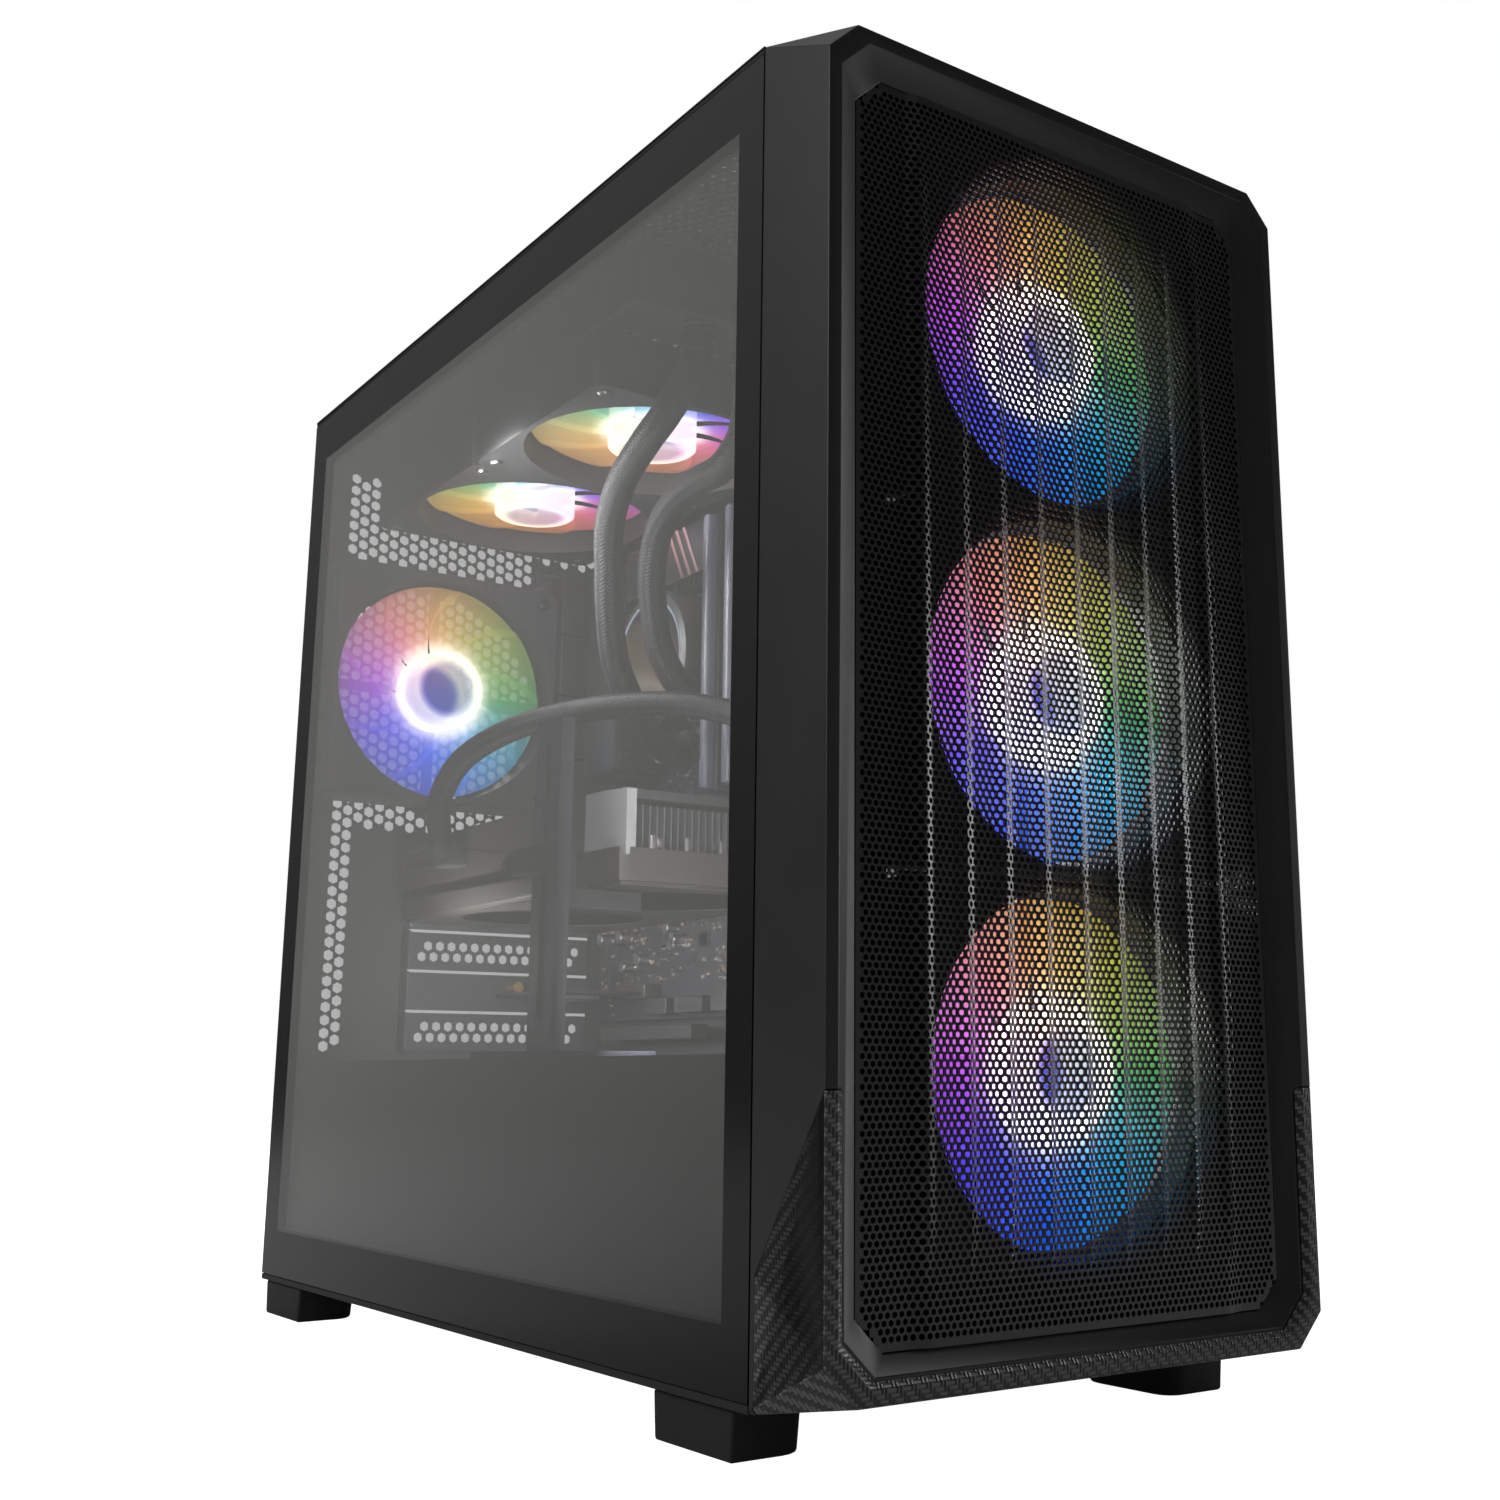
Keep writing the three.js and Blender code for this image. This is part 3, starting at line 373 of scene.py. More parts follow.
def boxUv(mesh):
    # u and v in centimetres, read along the two axes that each face lies nearest to
    total = len(mesh.loops)
    spot, corner = np.empty(len(mesh.vertices) * 3), np.empty(total, int)
    mesh.vertices.foreach_get("co", spot)
    mesh.loops.foreach_get("vertex_index", corner)
    normals, sizes = np.empty(len(mesh.polygons) * 3), np.empty(len(mesh.polygons), int)
    mesh.polygons.foreach_get("normal", normals)
    mesh.polygons.foreach_get("loop_total", sizes)
    spot = spot.reshape(-1, 3)[corner] * 100
    facing = np.repeat(np.abs(normals.reshape(-1, 3)).argmax(1), sizes)
    first = np.where(facing == 0, spot[:, 1], spot[:, 0])
    second = np.where(facing == 2, spot[:, 1], spot[:, 2])
    layer = mesh.uv_layers.new(name="weave")
    layer.data.foreach_set("uv", np.stack([first, second], -1).ravel())


def softCopy(name, node, material, width=0.7 * mm, body=None, angle=28, uv=None):
    # the CAD solid merged, its flat triangles joined, and its edges rounded
    source = frame["nodes"][node]
    count, faces = len(source.data.vertices), len(source.data.polygons)
    spot, corner = np.empty(count * 3), np.empty(faces * 3, int)
    source.data.vertices.foreach_get("co", spot)
    source.data.loops.foreach_get("vertex_index", corner)
    mesh = bpy.data.meshes.new(name)
    mesh.from_pydata(spot.reshape(-1, 3).tolist(), [], corner.reshape(-1, 3).tolist())
    work = bmesh.new()
    work.from_mesh(mesh)
    bmesh.ops.remove_doubles(work, verts=work.verts, dist=2e-6)
    bmesh.ops.dissolve_limit(work, angle_limit=math.radians(0.5), verts=work.verts, edges=work.edges)
    work.to_mesh(mesh)
    work.free()
    piece = dress(name, mesh, material, body or source["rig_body"], [node], angle, False, uv)
    bevel = piece.modifiers.new("roundedEdges", "BEVEL")
    bevel.width = width
    bevel.segments = 2
    bevel.limit_method = "ANGLE"
    bevel.angle_limit = math.radians(angle)
    bevel.harden_normals = True
    return piece


# Materials

def shaderNode(tree, kind, inputs=None, **settings):
    # one shader node: an input is linked where its value is a socket and set where it is a number
    made = tree.nodes.new("ShaderNode" + kind)
    for key, value in settings.items():
        setattr(made, key, value)
    for key, value in (inputs or {}).items():
        if isinstance(value, bpy.types.NodeSocket):
            tree.links.new(value, made.inputs[key])
        else:
            made.inputs[key].default_value = value
    return made


def newMaterial(name, **sockets):
    # a material whose Principled shader takes the socket values given
    material = bpy.data.materials.new(name)
    material.use_nodes = True
    tree = material.node_tree
    shader = tree.nodes["Principled BSDF"]
    for key, value in sockets.items():
        shader.inputs[key].default_value = value
    return material, tree, shader


def rgb(color):
    # a colour with full alpha behind it
    return (*color, 1.0)


def grained(name, color, roughness=0.5, metallic=0.0, specular=0.5, grain=1500, bump=0.15, tone=0.18,
            patch=45, stretch=(1, 1, 1), emission=0.0):
    # colour = base x (1 +- tone x slow noise); roughness follows the same noise; bump from fine noise
    material, tree, shader = newMaterial(name)
    shader.inputs["Metallic"].default_value = metallic
    shader.inputs["Specular IOR Level"].default_value = specular
    where = shaderNode(tree, "TexCoord").outputs["Object"]
    sized = shaderNode(tree, "Mapping", {"Vector": where, "Scale": stretch}).outputs[0]
    slow = shaderNode(tree, "TexNoise", {"Vector": sized, "Scale": patch, "Detail": 3.0}).outputs[0]
    fine = shaderNode(tree, "TexNoise", {"Vector": sized, "Scale": grain, "Detail": 2.0}).outputs[0]
    dark = tuple(c * (1 - tone) for c in color)
    light = tuple(c * (1 + tone) for c in color)
    mixed = shaderNode(tree, "Mix", {0: slow, 6: rgb(dark), 7: rgb(light)}, data_type="RGBA")
    tree.links.new(mixed.outputs[2], shader.inputs["Base Color"])
    spread = {"Value": slow, 3: roughness * 0.88, 4: min(1.0, roughness * 1.12)}
    tree.links.new(shaderNode(tree, "MapRange", spread).outputs[0], shader.inputs["Roughness"])
    raised = shaderNode(tree, "Bump", {"Height": fine, "Strength": bump, "Distance": 0.0002})
    tree.links.new(raised.outputs[0], shader.inputs["Normal"])
    if emission:
        tree.links.new(mixed.outputs[2], shader.inputs["Emission Color"])
        shader.inputs["Emission Strength"].default_value = emission
    return material


def mathNode(tree, operation, first, second=0.0, third=0.0):
    # one Math node: the operation named, on up to three values
    return shaderNode(tree, "Math", {0: first, 1: second, 2: third}, operation=operation).outputs[0]


def twill(name, dark, light, cell, across=1.0, roughness=0.4, specular=0.5, bump=0.6):
    # two-by-two twill on the UV: a square shows the warp where (column + row) mod 4 is below 2; the warp
    # squares are painted lighter as sheen, and each strand has a painted highlight along its middle: sin(pi x
    # place across it)
    material, tree, shader = newMaterial(name)
    shader.inputs["Roughness"].default_value = roughness
    shader.inputs["Specular IOR Level"].default_value = specular
    spot = shaderNode(tree, "UVMap", uv_map="weave").outputs[0]
    parts = shaderNode(tree, "SeparateXYZ", {0: spot})
    u = mathNode(tree, "MULTIPLY", parts.outputs[0], 1 / cell)
    v = mathNode(tree, "MULTIPLY", parts.outputs[1], across / cell)
    both = mathNode(tree, "ADD", mathNode(tree, "FLOOR", u), mathNode(tree, "FLOOR", v))
    turn = mathNode(tree, "FLOORED_MODULO", both, 4.0)
    warp = mathNode(tree, "LESS_THAN", turn, 1.5)
    ridgeU = mathNode(tree, "SINE", mathNode(tree, "MULTIPLY", mathNode(tree, "FRACT", u), math.pi))
    ridgeV = mathNode(tree, "SINE", mathNode(tree, "MULTIPLY", mathNode(tree, "FRACT", v), math.pi))
    ridge = shaderNode(tree, "Mix", {0: warp, 2: ridgeU, 3: ridgeV}).outputs[0]
    # painted sheen: warp squares lighter than the weft, times a painted highlight along each strand
    shade = mathNode(tree, "MULTIPLY_ADD", warp, 0.72, 0.14)
    paintedSheen = mathNode(tree, "MULTIPLY", shade, mathNode(tree, "MULTIPLY_ADD", ridge, 0.75, 0.25))
    color = shaderNode(tree, "Mix", {0: paintedSheen, 6: rgb(dark), 7: rgb(light)}, data_type="RGBA")
    tree.links.new(color.outputs[2], shader.inputs["Base Color"])
    height = mathNode(tree, "MULTIPLY_ADD", warp, 0.3, ridge)
    raised = shaderNode(tree, "Bump", {"Height": height, "Strength": bump, "Distance": 0.0002})
    tree.links.new(raised.outputs[0], shader.inputs["Normal"])
    return material


# Finishes

finishes = {
    "satin": dict(color=(0.016, 0.016, 0.0165), roughness=0.42, specular=0.42, grain=2600, bump=0.1,
                  tone=0.08),
    "powder": dict(color=(0.014, 0.014, 0.0148), roughness=0.55, specular=0.32, grain=3200, bump=0.3,
                   tone=0.12),
    "inside": dict(color=(0.02, 0.02, 0.021), roughness=0.6, specular=0.3, grain=3200, bump=0.25, tone=0.12),
    "meshPaint": dict(color=(0.009, 0.009, 0.0105), roughness=0.33, specular=0.85, grain=2600, bump=0.08,
                      tone=0.1),
    "rubber": dict(color=(0.012, 0.012, 0.012), roughness=0.6, specular=0.3, grain=1800, bump=0.4, tone=0.2),
    "fanPlastic": dict(color=(0.022, 0.022, 0.024), roughness=0.45, specular=0.4, grain=2400, bump=0.12,
                       tone=0.12),
    "darkPlastic": dict(color=(0.015, 0.015, 0.016), roughness=0.4, specular=0.45, grain=2200, bump=0.12,
                        tone=0.12),
    "filterNet": dict(color=(0.05, 0.05, 0.052), roughness=0.7, specular=0.25, grain=3000, bump=0.2,
                      tone=0.15),
    "steel": dict(color=(0.42, 0.42, 0.44), roughness=0.32, metallic=1.0, grain=900, bump=0.08, tone=0.1,
                  stretch=(1, 9, 1)),
    "slotPaint": dict(color=(0.03, 0.03, 0.032), roughness=0.5, specular=0.4, grain=3000, bump=0.2, tone=0.1),
    "screwSteel": dict(color=(0.5, 0.48, 0.45), roughness=0.3, metallic=1.0, grain=1400, bump=0.1, tone=0.15),
    "blackZinc": dict(color=(0.03, 0.03, 0.033), roughness=0.3, metallic=0.85, grain=1600, bump=0.1,
                      tone=0.2),
    "brass": dict(color=(0.75, 0.52, 0.22), roughness=0.28, metallic=1.0, grain=1200, bump=0.08, tone=0.15),
    "portBlue": dict(color=(0.02, 0.06, 0.22), roughness=0.4, specular=0.4, grain=2000, bump=0.05, tone=0.1),
    "fins": dict(color=(0.33, 0.32, 0.33), roughness=0.38, metallic=0.95, grain=1500, bump=0.1, tone=0.16),
    "greyAlloy": dict(color=(0.3, 0.3, 0.31), roughness=0.5, metallic=0.35, grain=2600, bump=0.4, tone=0.12),
    "board": dict(color=(0.016, 0.018, 0.024), roughness=0.42, grain=700, bump=0.25, tone=0.35,
                  patch=260),
    "chip": dict(color=(0.012, 0.012, 0.013), roughness=0.5, specular=0.4, grain=1800, bump=0.12, tone=0.2),
    "smallPart": dict(color=(0.16, 0.12, 0.08), roughness=0.4, grain=900, bump=0.1, tone=0.6,
                      patch=900),
    "solder": dict(color=(0.55, 0.5, 0.42), roughness=0.35, metallic=0.9, grain=900, bump=0.1, tone=0.3),
    "connector": dict(color=(0.02, 0.02, 0.021), roughness=0.45, specular=0.45, grain=1700, bump=0.1,
                      tone=0.2),
    "heatPlate": dict(color=(0.028, 0.028, 0.031), roughness=0.34, metallic=0.6, grain=2400, bump=0.12,
                      tone=0.12),
    "postPaint": dict(color=(0.05, 0.052, 0.075), roughness=0.42, grain=2800, bump=0.2, tone=0.1),
}
paint = {name: grained(name, **look) for name, look in finishes.items()}
# the light colour of each weave is the top of its painted sheen on near-black fibres
carbonFilm = twill("carbonFilm", (0.004, 0.004, 0.0042), (0.16, 0.16, 0.165), cell=0.13, roughness=0.3)
braid = twill("braid", (0.002, 0.002, 0.0022), (0.022, 0.022, 0.025), cell=1.0, roughness=0.55,
              specular=0.18, bump=0.9)


def litMaterial(name, color, strength, base=(0.08, 0.085, 0.11), spread=0.25):
    # emission varies slowly along the strip: strength x (1 +- spread x noise)
    material, tree, shader = newMaterial(name, Roughness=0.35)
    shader.inputs["Base Color"].default_value = rgb(base)
    where = shaderNode(tree, "TexCoord").outputs["Object"]
    slow = shaderNode(tree, "TexNoise", {"Vector": where, "Scale": 40.0}).outputs[0]
    shader.inputs["Emission Color"].default_value = rgb(color)
    level = {"Value": slow, 3: strength * (1 - spread), 4: strength * (1 + spread)}
    tree.links.new(shaderNode(tree, "MapRange", level).outputs[0], shader.inputs["Emission Strength"])
    return material


def paneMaterial(look, low, high):
    # window = 1 where y and z lie inside its four edges; it mixes the printed border and a painted reflection
    # on the glass
    material, tree, shader = newMaterial("paneWithPaintedReflection")
    shader.inputs["Roughness"].default_value = look["roughness"]
    shader.inputs["Specular IOR Level"].default_value = look["specular"]
    where = shaderNode(tree, "TexCoord").outputs["Object"]
    parts = shaderNode(tree, "SeparateXYZ", {0: where})
    y, z = parts.outputs[1], parts.outputs[2]
    tests = [("GREATER_THAN", y, low[1] + look["front"]), ("LESS_THAN", y, high[1] - look["rear"]),
             ("GREATER_THAN", z, low[2] + look["foot"]), ("LESS_THAN", z, high[2] - look["top"])]
    inside = mathNode(tree, *tests[0])
    for test in tests[1:]:
        inside = mathNode(tree, "MULTIPLY", inside, mathNode(tree, *test))
    # painted reflection on the window: lighter towards the rear, darker towards the front and the foot
    back = shaderNode(tree, "MapRange", {"Value": y, 1: low[1], 2: high[1], 3: 0.0, 4: 1.0}).outputs[0]
    height = shaderNode(tree, "MapRange", {"Value": z, 1: low[2], 2: look["shade"], 3: 0.0,
                                           4: 1.0}).outputs[0]
    foot = shaderNode(tree, "Mix", {0: back, 6: rgb(look["footFront"]), 7: rgb(look["footRear"])},
                      data_type="RGBA").outputs[2]
    upper = shaderNode(tree, "Mix", {0: back, 6: rgb(look["paintedReflectionFront"]), 7: rgb(look["paintedReflectionRear"])},
                       data_type="RGBA").outputs[2]
    paintedReflection = shaderNode(tree, "Mix", {0: height, 6: foot, 7: upper}, data_type="RGBA").outputs[2]
    # painted reflection on the printed border: lighter towards the top
    rise = {"Value": z, 1: low[2], 2: high[2], 3: 0.0, 4: 1.0}
    up = shaderNode(tree, "MapRange", rise).outputs[0]
    border = shaderNode(tree, "Mix", {0: up, 6: rgb(look["borderFoot"]), 7: rgb(look["borderTop"])},
                        data_type="RGBA").outputs[2]
    color = shaderNode(tree, "Mix", {0: inside, 6: border, 7: paintedReflection}, data_type="RGBA").outputs[2]
    tree.links.new(color, shader.inputs["Base Color"])
    # in the window, alpha is how much the painted reflection covers what lies behind the glass
    alpha = mathNode(tree, "MULTIPLY_ADD", inside, look["paintedReflectionCover"] - 1.0, 1.0)
    tree.links.new(alpha, shader.inputs["Alpha"])
    return material


# Camera and studio

camera = {"place": (-0.3878, -0.6355, 0.1089), "up": 11.40, "turn": -36.50, "lens": 42.01,
          "shift": (-0.0761, -0.0182)}
studio = {"wall": 1.0, "fill": 0.08, "floorSeen": 1.05, "floorGlow": 0.06, "floorHalf": 8.0,
          "left": dict(at=(-1.7, 0.1, 1.2), size=1.5, power=20, aim=(0, 0, 0.25)),
          "front": dict(at=(-0.2, -2.0, 1.5), size=1.0, power=0.3, aim=(0, -0.2, 0.25)),
          "right": dict(at=(2.0, -0.72, 0.5), size=0.7, power=6, aim=(0, -0.23, 0.22)),
          "above": dict(at=(0.1, 0.2, 2.1), size=1.6, power=3, aim=(0, 0, 0.3)),
          "behind": dict(at=(0.9, 2.1, 1.3), size=1.4, power=30, aim=(0, 0.1, 0.22)),
          "innerHigh": dict(at=(-0.078, 0.06, 0.34), size=0.1, power=1.0, aim=(1, 0.06, 0.34)),
          "innerLow": dict(at=(-0.078, 0.12, 0.152), size=0.05, power=0.8, aim=(1, 0.12, 0.152)),
          "innerFront": dict(at=(-0.078, -0.11, 0.24), size=0.12, power=0.9, aim=(1, -0.11, 0.24)),
          "innerFoot": dict(at=(-0.06, -0.08, 0.145), size=0.05, power=0.8, aim=(1, 0.1, 0.16))}


def makeStudio():
    # camera, then world and floor of strength rest + (seen - rest) x is-camera-ray, then discs of light
    # each turned to face its aim
    scene = bpy.context.scene
    data = bpy.data.cameras.new("camera")
    data.sensor_width = 36
    data.lens = camera["lens"]
    data.shift_x, data.shift_y = camera["shift"]
    data.clip_start, data.clip_end = 0.02, 60
    eye = bpy.data.objects.new("camera", data)
    eye.location = camera["place"]
    eye.rotation_euler = (math.radians(90 + camera["up"]), 0, math.radians(camera["turn"]))
    scene.collection.objects.link(eye)
    scene.camera = eye
    scene.view_settings.view_transform = "Standard"

    world = bpy.data.worlds.new("studio")
    world.use_nodes = True
    tree = world.node_tree
    sky = tree.nodes["Background"]
    sky.inputs["Color"].default_value = (1, 1, 1, 1)
    seen = shaderNode(tree, "LightPath").outputs["Is Camera Ray"]
    level = mathNode(tree, "MULTIPLY_ADD", seen, studio["wall"] - studio["fill"], studio["fill"])
    tree.links.new(level, sky.inputs["Strength"])
    scene.world = world

    for name in ("left", "front", "right", "above", "behind", "innerHigh", "innerLow", "innerFront",
                 "innerFoot"):
        look = studio[name]
        lamp = bpy.data.lights.new(name + "Light", "AREA")
        lamp.shape = "DISK"
        lamp.size = look["size"]
        lamp.energy = look["power"]
        holder = bpy.data.objects.new(name + "Light", lamp)
        holder.location = look["at"]
        holder.visible_camera = False
        aim = Vector(look["aim"]) - Vector(look["at"])
        holder.rotation_euler = aim.to_track_quat("-Z", "Y").to_euler()
        scene.collection.objects.link(holder)

    material = grained("floorPaint", (0.6, 0.6, 0.6), 0.75, specular=0.1, grain=300, bump=0.02, tone=0.01)
    tree = material.node_tree
    shader = tree.nodes["Principled BSDF"]
    shader.inputs["Emission Color"].default_value = (1, 1, 1, 1)
    seen = shaderNode(tree, "LightPath").outputs["Is Camera Ray"]
    level = mathNode(tree, "MULTIPLY_ADD", seen, studio["floorSeen"] - studio["floorGlow"],
                     studio["floorGlow"])
    tree.links.new(level, shader.inputs["Emission Strength"])
    half = studio["floorHalf"]
    mesh = bpy.data.meshes.new("floor")
    mesh.from_pydata([(-half, -half, 0), (half, -half, 0), (half, half, 0), (-half, half, 0)], [],
                     [(0, 1, 2, 3)])
    mesh.materials.append(material)
    floor = bpy.data.objects.new("floor", mesh)
    scene.collection.objects.link(floor)


makeStudio()
print("studio ready")


# Front: bezel, trim and ribbed mesh

meshFront = {"pitch": 2.5 * mm, "hole": 0.98 * mm, "sheet": 0.7 * mm, "cornerCut": 10 * mm,
             "fold": 25 * mm, "slant": 6 * mm, "rise": 1.8 * mm, "border": 2.0 * mm,
             "ribPitch": 15.9 * mm, "ribs": 9, "ribHalf": 3.4 * mm, "ribRise": 1.5 * mm,
             "ribEnd": 15 * mm, "point": 16 * mm, "bands": 3}


def makeFrontPanel():
    # bezel and trim from the CAD; the mesh is one lattice in bands, each point moved to depth(u, v)
    softCopy("frontBezel", "front_bezel", paint["satin"], 0.9 * mm)
    softCopy("carbonTrim", "carbon_trim", carbonFilm, 0.5 * mm, uv="box")
    look = meshFront
    low, high = corners("front_mesh")
    width, height = high[0] - low[0], high[2] - low[2]
    deep = high[1] - look["sheet"]

    def keep(u, v):
        # left out beyond the cut corners, plain along the border, open elsewhere
        du, dv = np.minimum(u, width - u), np.minimum(v, height - v)
        inner = (np.minimum(du, dv) > look["border"]) & (du + dv > look["cornerCut"] + 2.2 * mm)
        return np.where(du + dv < look["cornerCut"] - 0.6 * mm, -1, np.where(inner, 1, 0))

    def depth(u, v):
        # raised middle: rise x clip((edge distance - fold) / slant); ribs: a ridge of straight flanks
        # round the nearest rib line, whose width narrows to a point at both ends
        edge = np.minimum(u, width - u)
        middle = np.clip((edge - look["fold"] + look["slant"]) / look["slant"], 0, 1) * look["rise"]
        across = u - width / 2
        line = np.clip(np.round(across / look["ribPitch"]), -(look["ribs"] // 2), look["ribs"] // 2)
        off = np.abs(across - line * look["ribPitch"])
        ends = np.minimum(v, height - v) - look["ribEnd"]
        taper = np.clip(ends / look["point"], 0, 1)
        ridge = np.clip(1 - off / (look["ribHalf"] * np.maximum(taper, 1e-3)), 0, 1)
        return deep - middle - look["ribRise"] * ridge * taper

    rows = round(height / (look["pitch"] * math.sqrt(3) / 2))
    bounds = np.linspace(0, rows, look["bands"] + 1).astype(int)
    for band, (first, last) in enumerate(zip(bounds[:-1], bounds[1:])):
        flat, faces = brickLattice(width, height, look["pitch"], look["hole"], keep, (first, last))
        u, v = flat[:, 0], flat[:, 1]
        front = np.stack([u + low[0], depth(u, v), v + low[2]], -1)
        addPiece(f"frontMeshBand{band + 1}", [thicken(front, faces, (0, look["sheet"], 0))],
                 paint["meshPaint"], "front_panel", ["front_mesh"] if band == 0 else (),
                 smooth=24, recalc=False)


makeFrontPanel()
print("front panel ready")


# Case sheets

case = {"topPitch": 4.6 * mm, "topHole": 1.5 * mm, "filterEdge": 11 * mm, "sheet": 1.2 * mm,
        "rearPitch": 6.35 * mm, "rearHole": 2.85 * mm, "hexStart": (-60 * mm, 250 * mm), "fanClear": 62 * mm,
        "openingEdge": 5 * mm, "hexCircle": 56 * mm}
zones = [(-90, -62, 374, 421), (-90, 62, 370, 396), (-90, 24, 231, 252), (-90, -69.5, 117, 252)]


def netBars(x0, x1, y0, y1, pitch, width, low, high):
    # crossing thin bars, one set along x and one along y
    xs = np.arange(x0 + pitch / 2, x1, pitch)
    ys = np.arange(y0 + pitch / 2, y1, pitch)
    tall = np.full(len(xs), 1.0)
    alongY = np.stack([xs - width / 2, y0 * tall, low * tall], -1), \
        np.stack([xs + width / 2, y1 * tall, high * tall], -1)
    wide = np.full(len(ys), 1.0)
    alongX = np.stack([x0 * wide, ys - width / 2, low * wide], -1), \
        np.stack([x1 * wide, ys + width / 2, high * wide], -1)
    return [hardBoxes(*alongX), hardBoxes(*alongY)]


def makeTop():
    # sheet with holes under the filter and a lip at each side, then the filter's frame and its net
    low, high = corners("top_panel")
    width, depth = high[0] - low[0], high[1] - low[1]
    filterLow, filterHigh = corners("top_dust_filter")

    def keep(u, v):
        # open where it lies filterEdge inside the filter's outline, plain elsewhere
        x, y = u + low[0], v + low[1]
        inside = (np.abs(x) < filterHigh[0] - case["filterEdge"]) & (y > filterLow[1] + case["filterEdge"])
        return np.where(inside & (y < filterHigh[1] - case["filterEdge"]), 1, 0)

    flat, faces = brickLattice(width, depth, case["topPitch"], case["topHole"], keep)
    top = np.column_stack([flat[:, 0] + low[0], flat[:, 1] + low[1], np.full(len(flat), high[2])])
    sheet = thicken(top, faces, (0, 0, -case["sheet"]))
    lips = [box(side - case["sheet"] / 2, side + case["sheet"] / 2, low[1], high[1], low[2],
                high[2] - 0.2 * mm, axis="y", corner=0.3 * mm)
            for side in (low[0] + case["sheet"] / 2, high[0] - case["sheet"] / 2)]
    addPiece("topPanel", [sheet, *lips], paint["powder"], "chassis", ["top_panel"])

    inner = 9 * mm
    outline = roundCorners((filterHigh - filterLow)[:2] / 2, 4 * mm) + (filterHigh + filterLow)[:2] / 2
    window = rectLoop(filterLow[0] + inner, filterHigh[0] - inner, filterLow[1] + inner,
                      filterHigh[1] - inner)
    ring = cutPlate(outline, [window], filterLow[2], filterHigh[2], "z")
    net = netBars(filterLow[0] + inner, filterHigh[0] - inner, filterLow[1] + inner,
                  filterHigh[1] - inner, 1.55 * mm, 0.3 * mm, filterLow[2] + 0.2 * mm,
                  filterLow[2] + 0.5 * mm)
    addPiece("topFilterFrame", [ring], paint["darkPlastic"], "top_filter", ["top_dust_filter"])
    addPiece("topFilterNet", net, paint["filterNet"], "top_filter", ())


def makeBottom():
    # panel and feet from the CAD; filter frame = rectangle less its window, with a net of crossing bars
    softCopy("bottomPanel", "bottom_panel", paint["powder"], 0.25 * mm)
    low, high = corners("bottom_dust_filter")
    rear = corners("rear_panel")[1][1]
    inner = 8 * mm
    outline = rectLoop(low[0], high[0], low[1], rear)
    window = rectLoop(low[0] + inner, high[0] - inner, low[1] + inner, rear - inner)
    ring = cutPlate(outline, [window], low[2], high[2], "z")
    tab = box(-18 * mm, 18 * mm, rear - 2 * mm, high[1], low[2], high[2], corner=1.5 * mm)
    net = netBars(low[0] + inner, high[0] - inner, low[1] + inner, rear - inner, 1.5 * mm, 0.3 * mm,
                  high[2] - 1.2 * mm, high[2] - 0.8 * mm)
    addPiece("bottomFilterFrame", [ring, tab], paint["darkPlastic"], "bottom_filter",
             ["bottom_dust_filter"])
    addPiece("bottomFilterNet", net, paint["filterNet"], "bottom_filter", ())
    for end in ("front", "rear"):
        for side in ("left", "right"):
            softCopy(f"foot{end.title()}{side.title()}", f"foot_{end}_{side}", paint["rubber"], 1.2 * mm,
                     angle=40)


def hexField(zone, centre, radius):
    # columns of six-sided holes a pitch apart, every second column half a pitch lower; kept inside
    # the zones or inside the fan's circle
    pitch, hole = case["rearPitch"], case["rearHole"]
    step = pitch * math.sqrt(3) / 2
    i, j = np.meshgrid(np.arange(-20, 30), np.arange(-30, 50), indexing="ij")
    x = i * step + case["hexStart"][0]
    z = (j + 0.5 * (i % 2)) * pitch + case["hexStart"][1]
    spots = np.stack([z.ravel(), x.ravel()], -1)
    near = np.hypot(spots[:, 1] - centre[0], spots[:, 0] - centre[2])
    keep = near < radius
    clear = near > case["fanClear"]
    for x0, x1, z0, z1 in zone:
        within = (spots[:, 1] > x0 * mm + hole) & (spots[:, 1] < x1 * mm - hole)
        within &= (spots[:, 0] > z0 * mm + hole) & (spots[:, 0] < z1 * mm - hole)
        keep |= within & clear
    return spots[keep]


